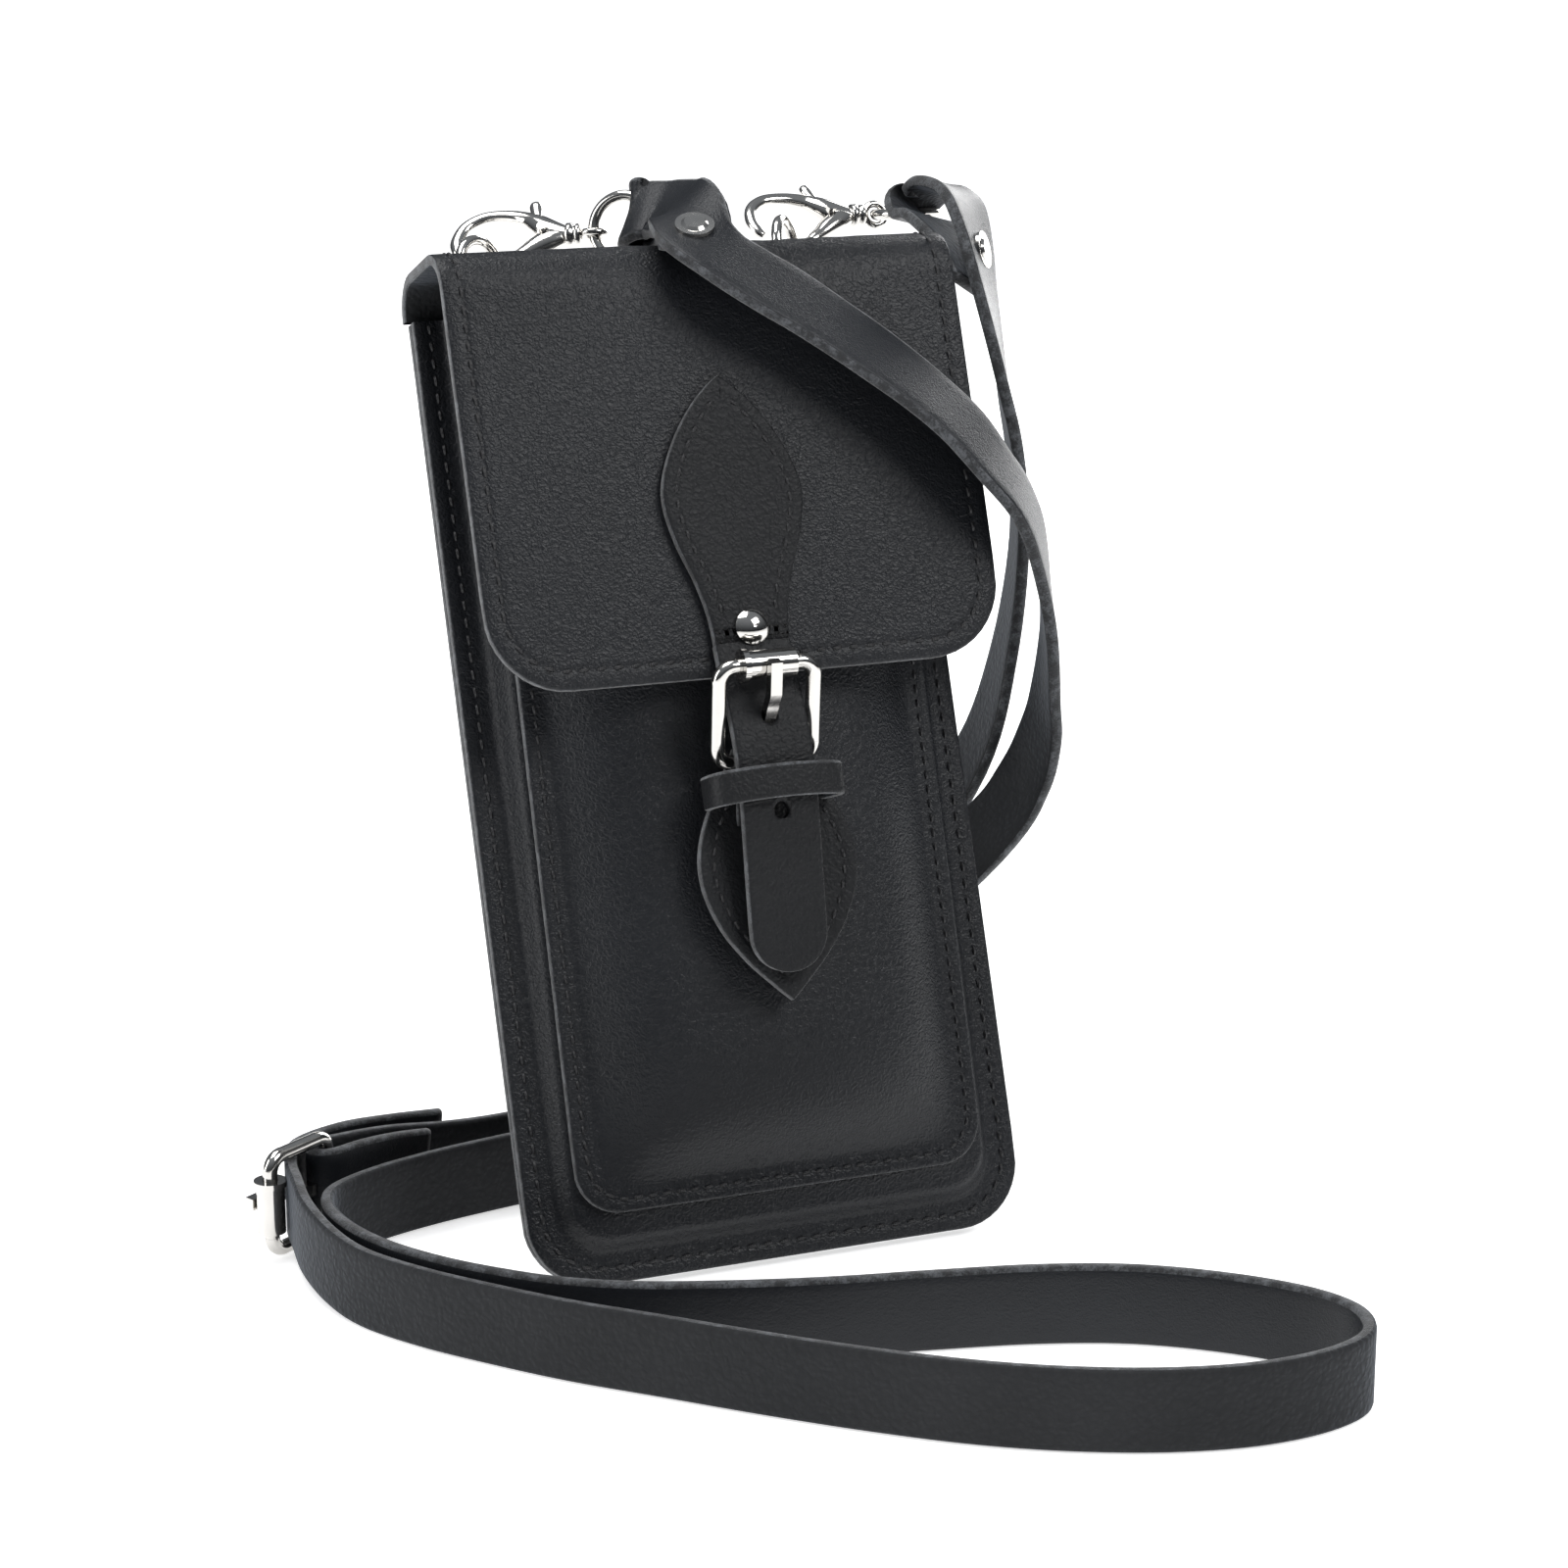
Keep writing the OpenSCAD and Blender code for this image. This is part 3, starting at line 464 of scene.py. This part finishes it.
LONG_HIGH = [(-1, -29.8, 189), (0.6, -23.8, 196.2),
             (2.8, -14.8, 199.2), (3.2, -7, 200.6), (1.6, -3.2, 201.6), (-2, -3.2, 202),
             (-3.8, -5.6, 202.2), (-2.4, -8, 202.2), (0, -10.4, 201.6), (1, -15.6, 200.4),
             (-0.5, -24.6, 197.6), (-1.8, -31.2, 191.8), (1.4, -35.6, 186), (7.8, -36.5, 181),
             (14.2, -36.2, 177), (22, -36, 171.4), (29.6, -35.9, 165.6), (37.6, -36, 158.8),
             (45, -36.5, 151), (50.8, -36, 143), (55, -34.5, 138), (58.2, -32, 133.4),
             (61.2, -28, 128.4), (64.4, -22, 120.5), (66.7, -16, 111.5), (68.4, -8, 102),
             (68.4, -3, 94.5), (66, 3, 86), (58, 9, 76)]
LONG_HIGH_WIDE = [(0.62, 0.47, 0.62), (0.64, 0.5, 0.58),
                  (0.6, 0.5, 0.62), (0.5, 0.4, 0.77), (0.45, 0.37, 0.82), (0.45, 0.37, 0.82),
                  (0.45, 0.37, 0.82), (0.48, 0.4, 0.78), (0.5, 0.42, 0.75), (0.6, 0.5, 0.62),
                  (0.64, 0.5, 0.58), (0.62, 0.47, 0.62), (0.66, 0.47, 0.58), (0.67, 0.46, 0.57),
                  (0.64, 0.47, 0.6), (0.65, 0.5, 0.57), (0.7, 0.5, 0.5), (0.77, 0.52, 0.37),
                  (0.8, 0.55, 0.3), (0.7, 0.63, 0.33), (0.63, 0.7, 0.33), (0.59, 0.77, 0.2),
                  (0.54, 0.83, 0.08), (0.45, 0.89, 0.05), (0.35, 0.93, 0.1), (0.2, 0.95, 0.2),
                  (0, 0.9, 0.35), (-0.15, 0.8, 0.5), (-0.25, 0.7, 0.6)]
LONG_LOW = [(32, 45, 42), (18, 48, 19), (2, 48.5, 9.5), (-22, 46.5, 7.8), (-42, 43.5, 7.6),
            (-57, 40.5, 7.5), (-70, 36, 7.5), (-79, 30, 7.5), (-82, 22, 7.5), (-81, 11, 7.5),
            (-77, 0, 7.5), (-70, -11, 7.5), (-62, -20, 7.5), (-53, -28, 7.5), (-41, -35, 7.5),
            (-25, -41, 7.5), (-8, -46, 7.5), (10, -50, 7.5), (28, -54.5, 7.5), (44, -61, 7.5),
            (58, -71, 7.5), (68, -82, 7.5), (71.5, -92, 7.5), (68, -101, 7.5), (58, -105.5, 7.5),
            (44, -106, 7.5), (29, -102.5, 7.5), (14, -96, 7.5), (0, -87.5, 7.5), (-14, -76.5, 7.5),
            (-28, -64, 7.5), (-42, -50.5, 7.5), (-55, -38, 7.5), (-66, -25.5, 7.5), (-75, -14, 7.5),
            (-82, -2, 7.5), (-85.5, 8, 8.5), (-87, 19, 10), (-86.3, 29, 11), (-85, 38.4, 11),
            (-81.3, 47.8, 11), (-71.8, 53.2, 11), (-61, 56.8, 10), (-50, 58.9, 9)]
SHORT_HIGH = [(61.4, -13, 183), (60.6, -9.5, 191), (60, -2, 198.5), (59.4, 2.2, 200.8),
              (60.2, 5.2, 203.5), (62.4, 4.4, 206.2), (64, -0.5, 206.2), (64.6, -7.5, 201.5),
              (64, -12.4, 193), (63.8, -14.5, 181), (64.8, -14.5, 164), (67.4, -10.5, 150),
              (68.4, -5, 133), (66.4, 5, 112), (61.8, 17, 93)]
SHORT_HIGH_WIDE = [(0.7, 0.7, 0), (0.75, 0.66, 0), (0.8, 0.6, 0), (0.8, 0.6, 0), (0.8, 0.6, 0),
                   (0.8, 0.6, 0), (0.8, 0.6, 0), (0.75, 0.66, 0), (0.7, 0.7, 0), (0.6, 0.8, 0),
                   (0.45, 0.9, 0), (0.35, 0.94, 0), (0.3, 0.95, 0.1), (0.2, 0.95, 0.25),
                   (0.1, 0.85, 0.5)]
SHORT_LOW = [(50, 58, 58), (34, 61, 36), (18, 61.5, 16), (0, 60, 8.6), (-22, 57, 8), (-39, 54.2, 8),
             (-51, 53, 8.5), (-62, 50.8, 10), (-71, 47.8, 11), (-77.8, 46.3, 11), (-79.6, 43.4, 11),
             (-79.2, 41, 11), (-76, 40.2, 11), (-70, 42.6, 11), (-63, 45.2, 10.5), (-56, 47.6, 9.5)]

long_pts = route(LONG_HIGH, on_case) + route(LONG_LOW, on_floor)
long_wide = ([case_dir(*p) for p in LONG_HIGH_WIDE] + [Vector((-0.3, 0.3, 0.9)), Vector((-0.15, 0.15, 1))]
             + [Vector((0, 0, 1))] * (len(LONG_LOW) - 2))
short_pts = route(SHORT_HIGH, on_case) + route(SHORT_LOW, on_floor)
short_wide = ([case_dir(*p) for p in SHORT_HIGH_WIDE] + [Vector((0.1, 0.5, 0.8)), Vector((-0.2, 0.2, 0.9))]
              + [Vector((0, 0, 1))] * (len(SHORT_LOW) - 2))
STRAP_W, STRAP_T = 0.015, 0.0024


def strap_part(name, pts, wide, first, last, nodes):
    line, across = [], []
    for i in range(first, last):
        for k in range(6):
            line.append(catmull(pts, i, k / 6))
            across.append(catmull(wide, i, k / 6))
    line.append(pts[last].copy())
    across.append(wide[last].copy())
    length = sum((b - a).length for a, b in zip(line, line[1:]))
    # where two parts meet, one more step beyond the end keeps the faces in line
    joins = (first > 0, last < len(pts) - 1)
    run, over = list(line), list(across)
    if joins[0]:
        run.insert(0, catmull(pts, first - 1, 5 / 6))
        over.insert(0, catmull(wide, first - 1, 5 / 6))
    if joins[1]:
        run.append(catmull(pts, last, 1 / 6))
        over.append(catmull(wide, last, 1 / 6))
    obj = ribbon_mesh(name, run, over, STRAP_W, STRAP_T, [STRAP, EDGE, FLESH], joins=joins)
    if nodes:
        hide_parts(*nodes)
    return obj, line, length


JOIN = 20
top_strap, top_line, top_len = strap_part("strap_upper", long_pts, long_wide, 0, JOIN, ["strap_front_run"])
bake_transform(top_strap)
tuple(top_line[0])
[tuple(p) for p in top_line]
low_strap, low_line, low_len = strap_part("strap_lower", long_pts, long_wide, JOIN, len(long_pts) - 1,
                                                ["strap_side_run", "strap_floor_loop", "strap_tip_run"])
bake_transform(low_strap)
tuple(low_line[0])
[tuple(p) for p in low_line]
side_strap, side_line, side_len = strap_part("strap_short", short_pts, short_wide, 0, len(short_pts) - 1,
                                                   ["strap_short_run", "strap_chape"])
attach(side_strap, "case")
tuple(side_line[0])
[tuple(p) for p in side_line]

# ---------------------------------------------------------------- case body
FACE_TILT = 0.0349


def ease(u):
    u = min(max(u, 0.0), 1.0)
    return u * u * (3 - 2 * u)


def face_y(z):
    """Front panel's face, which leans out towards the mouth."""
    return -7 - (z - 13) * FACE_TILT


def side_list(count):
    return [i / count for i in range(count)]


def front_place(x, s, h, d):
    z = 183.6 - s
    rim = -2.0 - h
    lift = ease((d - 5.4) / 3.4)
    inner = face_y(z) + 2 - h - 3.0 * ease((d - 9) / 14)
    return on_case(x, rim + (inner - rim) * lift, z)


body_rows = edge_rows(2.0, 3.0, [5.2, 5.9, 6.6, 7.2, 7.8, 8.4, 9.2, 11, 14, 18, 23, 29, 36, 43, 50],
                      [1.5, 4, 5.2, 6, 7, 8, 9.2, 12, 18, 26, 36, 50])
front = sheet_mesh("front_moulding", 100, 183.6, 13, body_rows, side_list(36), front_place,
                   [CASE, EDGE, FLESH], keep=0.35)
finish_piece(front, "case", "case_leather", "front_panel")


def back_place(x, s, h, d):
    z = 183.5 - s
    return on_case(x, -2 + h, z)


back_rows = edge_rows(2.0, 3.0, [6, 12, 24, 36, 50], [2, 12, 30, 50])
back = sheet_mesh("back_leather", 100, 183.5, 13, back_rows, side_list(30), back_place, [CASE, EDGE, FLESH])
finish_piece(back, "case", "case_leather", "back_panel")


def rise(e):
    return 1 - exp(-(max(e, 0.0) / 9.5) ** 1.4)


def pocket_place(x, s, h, d):
    z = 134 - s
    return on_case(x, face_y(z) - h - 9.7 * rise(36.8 - abs(x)) * rise(116.8 - s), z)


pocket_rows = edge_rows(2.0, 2.4, [3.9, 4.4, 5, 5.7, 6.5, 7.5, 8.7, 10.2, 12, 14.5, 18, 22, 27, 33, 41],
                        [1.5, 4, 5, 6, 8, 10, 14, 20, 30, 41], 0.12)
pocket = sheet_mesh("pocket_moulding", 82, 121, 8.5, pocket_rows, side_list(28), pocket_place,
                    [CASE, EDGE, FLESH], keep=0.55)
finish_piece(pocket, "case", "case_leather", "pocket_panel")

# ---------------------------------------------------------------- flap
FOLD_R, DEPTH, TOP = 8.0, 29.0, 192.0
ARC = pi / 2 * (FOLD_R - 1)
FLAT = DEPTH - 2 * FOLD_R
FLAP_LEN = 2 * ARC + FLAT + (TOP - FOLD_R - 108.5)


def fold(s):
    """Middle of the flap's leather at distance s from the hinge: y, z and the outward normal."""
    r = FOLD_R - 1
    if s < ARC:
        a = s / r
        return -FOLD_R + r * cos(a), TOP - FOLD_R + r * sin(a), cos(a), sin(a)
    s -= ARC
    if s < FLAT:
        return -FOLD_R - s, TOP - 1, 0.0, 1.0
    s -= FLAT
    if s < ARC:
        a = pi / 2 + s / r
        return -DEPTH + FOLD_R + r * cos(a), TOP - FOLD_R + r * sin(a), cos(a), sin(a)
    s -= ARC
    return -DEPTH + 1, TOP - FOLD_R - s, -1.0, 0.0


def flap_place(x, s, h, d):
    y, z, ny, nz = fold(s)
    crown = 0.35 * sin(pi * min(max((s - ARC) / FLAT, 0), 1))
    push = h - 1 + crown * (1 - (x / 51) ** 2) + 0.35 * sin(x * 0.055 + 1.2) * ease((s - 40) / 30) * -1
    return on_case(x, y + ny * push, z + nz * push)


flap_side = [0.42 * i / 26 for i in range(26)] + [0.42 + 0.58 * i / 16 for i in range(16)]
flap_rows = edge_rows(2.0, 3.5, [5.6, 8, 12, 17, 23, 30, 38, 51], [1.5, 4, 9, 16, 26, 38, 51])
flap = sheet_mesh("flap_leather", 102, FLAP_LEN, 15, flap_rows, flap_side, flap_place, [CASE, EDGE, FLESH])
finish_piece(flap, "flap", "case_leather", "flap")


# ---------------------------------------------------------------- stitching
def line_on(place, w, length, r, inset, side_at, h, keep=0.0, trim=(0, 0)):
    pts = bib_path(w, length, r, inset, side_at, 12, 20, keep)
    pts = pts[trim[0]:len(pts) - trim[1]]
    line = [place(x, s, h, inset) for x, s in pts]
    up = [(place(x, s, h + 0.5, inset) - place(x, s, h, inset)).normalized() for x, s in pts]
    return line, up


line, up = line_on(front_place, 100, 183.6, 13, 3.0, side_list(40), 2.0 - 0.12, 0.35)
finish_piece(stitches("body_thread", line, up, 0.0033, "case"), "case", "thread", "body_stitching")
line, up = line_on(pocket_place, 82, 121, 8.5, 2.4, side_list(30), 2.0 - 0.08, 0.55)
finish_piece(stitches("pocket_thread", line, up, 0.0028, "case", 0.0021, 0.00031), "case", "thread",
             "pocket_stitching")
line, up = line_on(flap_place, 102, FLAP_LEN, 15, 3.5, flap_side, 2.0 - 0.12, 0.0, (8, 8))
finish_piece(stitches("flap_thread", line, up, 0.0033, "flap"), "flap", "thread", "flap_stitching")


# ---------------------------------------------------------------- leaves
def offset_outline(points, d):
    """Closed outline of (x, z) points moved inwards by d."""
    n = len(points)
    out = []
    for i in range(n):
        (ax, az), (px, pz), (bx, bz) = points[i - 1], points[i], points[(i + 1) % n]
        tx, tz = bx - ax, bz - az
        k = hypot(tx, tz) or 1
        x = px - tz / k * d
        out.append((x if x * px > 0 else 0.0, pz + tx / k * d))
    return out


def flat_piece(name, outline, t, place, mats, groove=0.0):
    rows = [(1.2, 0.0), (0.3, 0.0), (0.08, 0.1), (0.0, 0.3), (0.02, t / 2), (0.0, t - 0.4), (0.1, t - 0.12),
            (0.4, t)]
    if groove:
        rows += [(groove - 0.9, t + 0.02), (groove - 0.4, t), (groove, t - 0.12), (groove + 0.4, t),
                 (groove + 0.9, t + 0.02)]
    rows += [(groove + 1.2, t)]
    loops = [[place(x, z, h) for x, z in offset_outline(outline, d)] for d, h in rows]
    verts, faces, which = lofted(loops, True)
    tags = [1 if 1 <= j <= 5 else (2 if j < 1 else 0) for j in which]
    n = len(outline)
    faces.append(tuple(range(n)))
    faces.append(tuple(range((len(rows) - 1) * n, len(rows) * n))[::-1])
    tags += [2, 0]
    return outward(make(name, verts, faces, mats, tags))


def leaf_side(profile):
    """Right half of a leaf from its tip to its foot, smoothed."""
    pts = smooth_line([Vector((x, z, 0)) for x, z in profile], 8)
    return [(p.x, p.y) for p in pts]


UPPER = [(0, 164.6), (2.6, 162.6), (6.4, 158.6), (10.4, 152.5), (13.2, 145.8), (13.7, 140.5), (12.2, 133.5),
         (9.6, 126.5), (7.9, 120), (7.3, 113.6)]
LOWER = [(0, 47.8), (3.6, 51.2), (8.2, 56), (12.4, 62), (15.1, 69), (15.4, 75.5), (13.4, 82), (10, 88),
         (7.4, 92.5)]


def both_sides(profile):
    right = leaf_side(profile)
    left = [(-x, z) for x, z in reversed(right[1:])]
    return right + left


upper = both_sides(UPPER)
LX = -0.8


def upper_place(x, z, h):
    return on_case(LX + x, -29.02 - h, z)


leaf = flat_piece("leaf_upper", upper[::-1], 1.95, upper_place, [LEAF, EDGE, FLESH], 2.6)
finish_piece(leaf, "flap", "case_leather", "flap_leaf")


def leaf_thread(name, profile, place, inset, keep, body, node):
    for s in (1, -1):
        side = leaf_side(profile)
        pts = []
        for i in range(1, len(side) - 1):
            tx, tz = side[i + 1][0] - side[i - 1][0], side[i + 1][1] - side[i - 1][1]
            kk = hypot(tx, tz)
            up = 1 if profile[-1][1] > profile[0][1] else -1
            x, z = side[i][0] - abs(tz) / kk * inset, side[i][1] + tx / kk * inset * up
            if x > 0.9 and keep(z):
                pts.append((s * x, z))
        ln = [place(x, z, 1.84) for x, z in pts]
        nr = [(place(x, z, 3) - place(x, z, 2)).normalized() for x, z in pts]
        stitches(f"{name}_{'a' if s > 0 else 'b'}", ln, nr, 0.0028, body, 0.0021, 0.00031, 7 * s)
    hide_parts(node)


leaf_thread("leaf_upper_thread", UPPER, upper_place, 2.6, lambda z: z > 119, "flap", "flap_leaf_stitching")


def lower_place(x, z, h):
    y = -24.2 + 0.035 * (75 - z) * (1 if z < 75 else 0.6) - 0.012 * x * x * 0.25
    return on_case(LX + 1 + x, y - h, z)


leaf2 = flat_piece("leaf_lower", both_sides(LOWER), 2.3, lower_place, [LEAF, EDGE, FLESH], 2.7)
finish_piece(leaf2, "case", "case_leather", "lower_leaf")
leaf_thread("leaf_lower_thread", LOWER, lambda x, z, h: lower_place(x, z, h + 0.35), 2.7, lambda z: z < 86,
            "case", "lower_leaf_stitching")

# chape of the lower leaf round the buckle's heel bar
wrap = [Vector((0, y, z)) for y, z in [(-25.6, 82), (-26.3, 86), (-26.9, 90), (-27.2, 92.2), (-28.1, 94.2),
                                       (-29.4, 94.3), (-30.6, 92.9), (-30.4, 91), (-29.2, 88), (-27.6, 84),
                                       (-26.6, 81)]]
wl = [on_case(LX, p.y, p.z) for p in smooth_line(wrap, 4)]
loop = ribbon_mesh("leaf_wrap", wl, [Vector((1, 0, 0))] * len(wl), 0.0125, 0.0013, [LEAF, EDGE, FLESH])
finish_piece(loop, "case", "case_leather")

# ---------------------------------------------------------------- closing strap and keeper
BILLET = [(-30.1, 114.2), (-31.4, 108), (-33.0, 101), (-34, 94), (-33.9, 86), (-32.3, 76), (-30.2, 64),
          (-28.6, 53)]
bl = smooth_line([Vector((0, y, z)) for y, z in BILLET], 8)
marks = [0.0]
for a, b in zip(bl, bl[1:]):
    marks.append(marks[-1] + (b - a).length)
BILLET_LEN = marks[-1]


def billet_at(s):
    s = min(max(s, 0), BILLET_LEN - 1e-6)
    i = max(k for k in range(len(marks) - 1) if marks[k] <= s)
    f = (s - marks[i]) / (marks[i + 1] - marks[i])
    p = bl[i].lerp(bl[i + 1], f)
    t = (bl[min(i + 2, len(bl) - 1)] - bl[max(i - 1, 0)]).normalized()
    return p, Vector((0, t.z, -t.y))


def billet_place(x, s, h, d):
    p, nrm = billet_at(s)
    q = p + nrm * (h - 1.1 - 0.18 * (x / 7.5) ** 2)
    return on_case(LX + x, q.y, q.z)


billet_rows = edge_rows(2.2, 0, [1.2, 2.4, 4, 5.6, 7.5], [1.2, 3, 5.5, 7.5])
billet = sheet_mesh("closing_strap", 15, BILLET_LEN, 7.35, billet_rows, side_list(34), billet_place,
                    [LEAF, EDGE, FLESH], base=4, bend=12)
outward(billet)


# Cutter for a punched hole, lined with the painted shade for the hole's walls.
def peg(centre, axis, radius, length, sides=28):
    a = axis.normalized()
    return tube_mesh("peg", [centre - a * length / 2, centre + a * length / 2], radius, [HOLE_SHADE], sides)


out = case_dir(0, -1, 0)
for z in (99.8, 83):
    s = min(range(len(bl)), key=lambda i: abs(bl[i].z - z))
    cut(billet, peg(on_case(LX, bl[s].y, bl[s].z), out, 0.0016, 0.012))
finish_piece(billet, "flap", "case_leather", "billet_strap")
KEEP_Z = 87.8
ring = [(-9.6, -36.1), (-4.5, -36.75), (0, -36.9), (4.5, -36.75), (9.6, -36.1), (11.6, -35.1), (12.2, -33.2),
        (12.0, -29.5), (11.4, -26.9), (8.6, -25.6), (0, -25.4), (-8.6, -25.6), (-11.4, -26.9), (-12.0, -29.5),
        (-12.2, -33.2), (-11.6, -35.1)]
rp = [Vector((x, y, 0)) for x, y in ring]
kl = []
for i in range(len(rp)):
    for k in range(5):
        a, b, c, d = rp[i - 1], rp[i], rp[(i + 1) % len(rp)], rp[(i + 2) % len(rp)]
        t = k / 5
        q = 0.5 * (2 * b + (c - a) * t + (2 * a - 5 * b + 4 * c - d) * t * t
                   + (3 * b - a - 3 * c + d) * t ** 3)
        kl.append(on_case(LX + q.x, q.y, KEEP_Z - 0.5 * (q.x / 12) ** 2))
keeper = ribbon_mesh("keeper_band", kl, [case_dir(0, 0, 1)] * len(kl), 0.0062, 0.0016, [LEAF, EDGE, FLESH],
                     closed=True)
finish_piece(keeper, "case", "case_leather", "keeper_loop")

# ---------------------------------------------------------------- snap hooks
BOW = [(14.8, 1.0, 1.9), (13.2, 1.3, 2.3), (11, 2.2, 2.6), (8.8, 4, 2.3), (6, 5.9, 1.6), (2, 7, 1.3),
       (-2.5, 6.7, 1.2), (-5.8, 4.2, 1.25), (-7, 0.2, 1.35), (-6.5, -2.6, 1.25), (-5.7, -3.9, 0.8)]
HEEL = [(14, 0.6, 1.8), (11.6, -0.3, 2.4), (9, -2, 2.1), (6.6, -3.9, 1.5), (4.6, -5.3, 1.2), (3.4, -5.9, 0.7)]
GATE = [(10.2, 1.2, 1.1), (8.8, -2, 1), (6.4, -4.4, 0.9), (3.2, -6.1, 0.8), (0, -6.8, 0.75), (-3, -6.2, 0.7),
        (-4.6, -5.2, 0.5)]
THUMB = [(10, 1.6, 1.1), (8.9, 4.4, 1.1), (8.1, 7, 1.15), (7.7, 8.8, 1.3), (7.5, 9.9, 1.1), (7.4, 10.5, 0.5)]


def clasp(side, centre, yaw, dip):
    turn = (Matrix.Rotation(radians(-yaw), 3, "Z") @ Matrix.Rotation(radians(dip), 3, "Y")
            @ Matrix.Rotation(radians(-35), 3, "X"))

    def at(x, y, z):
        return on_case(*(turn @ Vector((x, y, z)) + Vector(centre)))

    thin = (at(0, 1, 0) - at(0, 0, 0)).normalized()
    parts = (("bow", BOW, 0.8, "hook", "clasp_hook"), ("heel", HEEL, 0.8, "hook", ""),
             ("gate", GATE, 0.9, "lever", "clasp_lever"), ("thumb", THUMB, 0.75, "lever", ""))
    for name, shape, squeeze, body, node in parts:
        pts = smooth_line([Vector(p) for p in shape], 6)
        bar = tube_mesh(f"clasp_{name}_{side}", [at(p.x, 0, p.y) for p in pts], [p.z * 0.001 for p in pts],
                        [NICKEL], 20, flat=(thin, squeeze))
        finish_piece(bar, f"{body}_{side}", "nickel", *([f"{node}_{side}"] if node else []))
    rings = [(14.6, 1.7), (14.9, 2.3), (15.9, 2.3), (16.2, 1.7), (16.5, 1.7), (16.8, 2.1), (17.5, 2.1),
             (17.8, 1.5)]
    collar = tube_mesh(f"clasp_collar_{side}", [at(x, 0, 1) for x, r in rings], [r * 0.001 for x, r in rings],
                       [NICKEL], 28)
    finish_piece(collar, f"hook_{side}", "nickel")


clasp("left", (-27.4, 12, 202.3), 30, 7)
clasp("right", (34.4, 12, 203.8), 0, 0)

# ---------------------------------------------------------------- metal parts that keep their CAD shape
for name, node in frame["nodes"].items():
    metal = any(k in name for k in ("rivet", "buckle", "case_ring", "clasp", "strap_ring"))
    mat = NICKEL if metal else (THREAD if "stitching" in name else CASE)
    meshes = [o for o in [node, *node.children_recursive] if o.type == "MESH"]
    for o in meshes:
        if not o.material_slots:
            o.data.materials.append(mat)
        for ms in o.material_slots:
            ms.material = mat

# ---------------------------------------------------------------- floor and light
floor_mat = Nodes("floor_white")
tc = floor_mat.coords()
mottle = floor_mat.add("ShaderNodeTexNoise", in_Scale=3.0)
floor_mat.link(tc, "Object", mottle, "Vector")
tint = floor_mat.ramp(mottle, "Fac", [(0.0, 0.8), (1.0, 0.82)])
floor_mat.link(tint, "Color", floor_mat.bsdf, "Base Color")
floor_mat.bsdf.inputs["Roughness"].default_value = 0.6
floor_mat.bsdf.inputs["Specular IOR Level"].default_value = 0.2
floor_mat.bsdf.inputs["Emission Color"].default_value = (1, 1, 1, 1)
far = floor_mat.add("ShaderNodeVectorMath", operation="LENGTH")
floor_mat.link(tc, "Object", far, 0)
glow = floor_mat.add("ShaderNodeMapRange", in_From_Min=0.25, in_From_Max=0.9, in_To_Min=0.62, in_To_Max=1.05)
floor_mat.link(far, "Value", glow, "Value")
floor_mat.link(glow, "Result", floor_mat.bsdf, "Emission Strength")
g = 40.0
floor = make("floor", [(-g, -g, -0.0002), (g, -g, -0.0002), (g, g, -0.0002), (-g, g, -0.0002)],
             [(0, 1, 2, 3)], [floor_mat.mat], smooth=False)

world = bpy.data.worlds.new("studio")
bpy.context.scene.world = world
world.use_nodes = True
sky = world.node_tree
way = sky.nodes.new("ShaderNodeTexCoord")
part = sky.nodes.new("ShaderNodeSeparateXYZ")
sky.links.new(way.outputs["Generated"], part.inputs["Vector"])
tone = sky.nodes.new("ShaderNodeValToRGB")
sky.links.new(part.outputs["Z"], tone.inputs["Fac"])
tone.color_ramp.elements[0].position = 0.05
tone.color_ramp.elements[0].color = (0.03, 0.033, 0.038, 1)
tone.color_ramp.elements[1].position = 0.8
tone.color_ramp.elements[1].color = (0.5, 0.53, 0.57, 1)
sky.links.new(tone.outputs["Color"], sky.nodes["Background"].inputs["Color"])
sky.nodes["Background"].inputs["Strength"].default_value = 0.5


def softbox(name, place, aim, size, power, tone=(1, 1, 1)):
    data = bpy.data.lights.new(name, "AREA")
    data.shape = "RECTANGLE"
    data.size, data.size_y = size
    data.energy = power
    data.color = tone
    lamp = bpy.data.objects.new(name, data)
    lamp.location = place
    lamp.rotation_euler = (Vector(aim) - Vector(place)).to_track_quat("-Z", "Y").to_euler()
    bpy.context.scene.collection.objects.link(lamp)
    return lamp


softbox("key", (0.55, -0.75, 1.0), (0, 0, 0.1), (0.7, 0.5), 9)
softbox("top", (-0.25, 0.15, 1.3), (0, 0, 0.1), (0.9, 0.7), 12)
softbox("left", (-1.1, 0.1, 0.5), (0, 0, 0.1), (0.5, 0.9), 6)
softbox("back_right", (0.9, 0.8, 0.5), (0, 0, 0.1), (0.6, 0.9), 10)
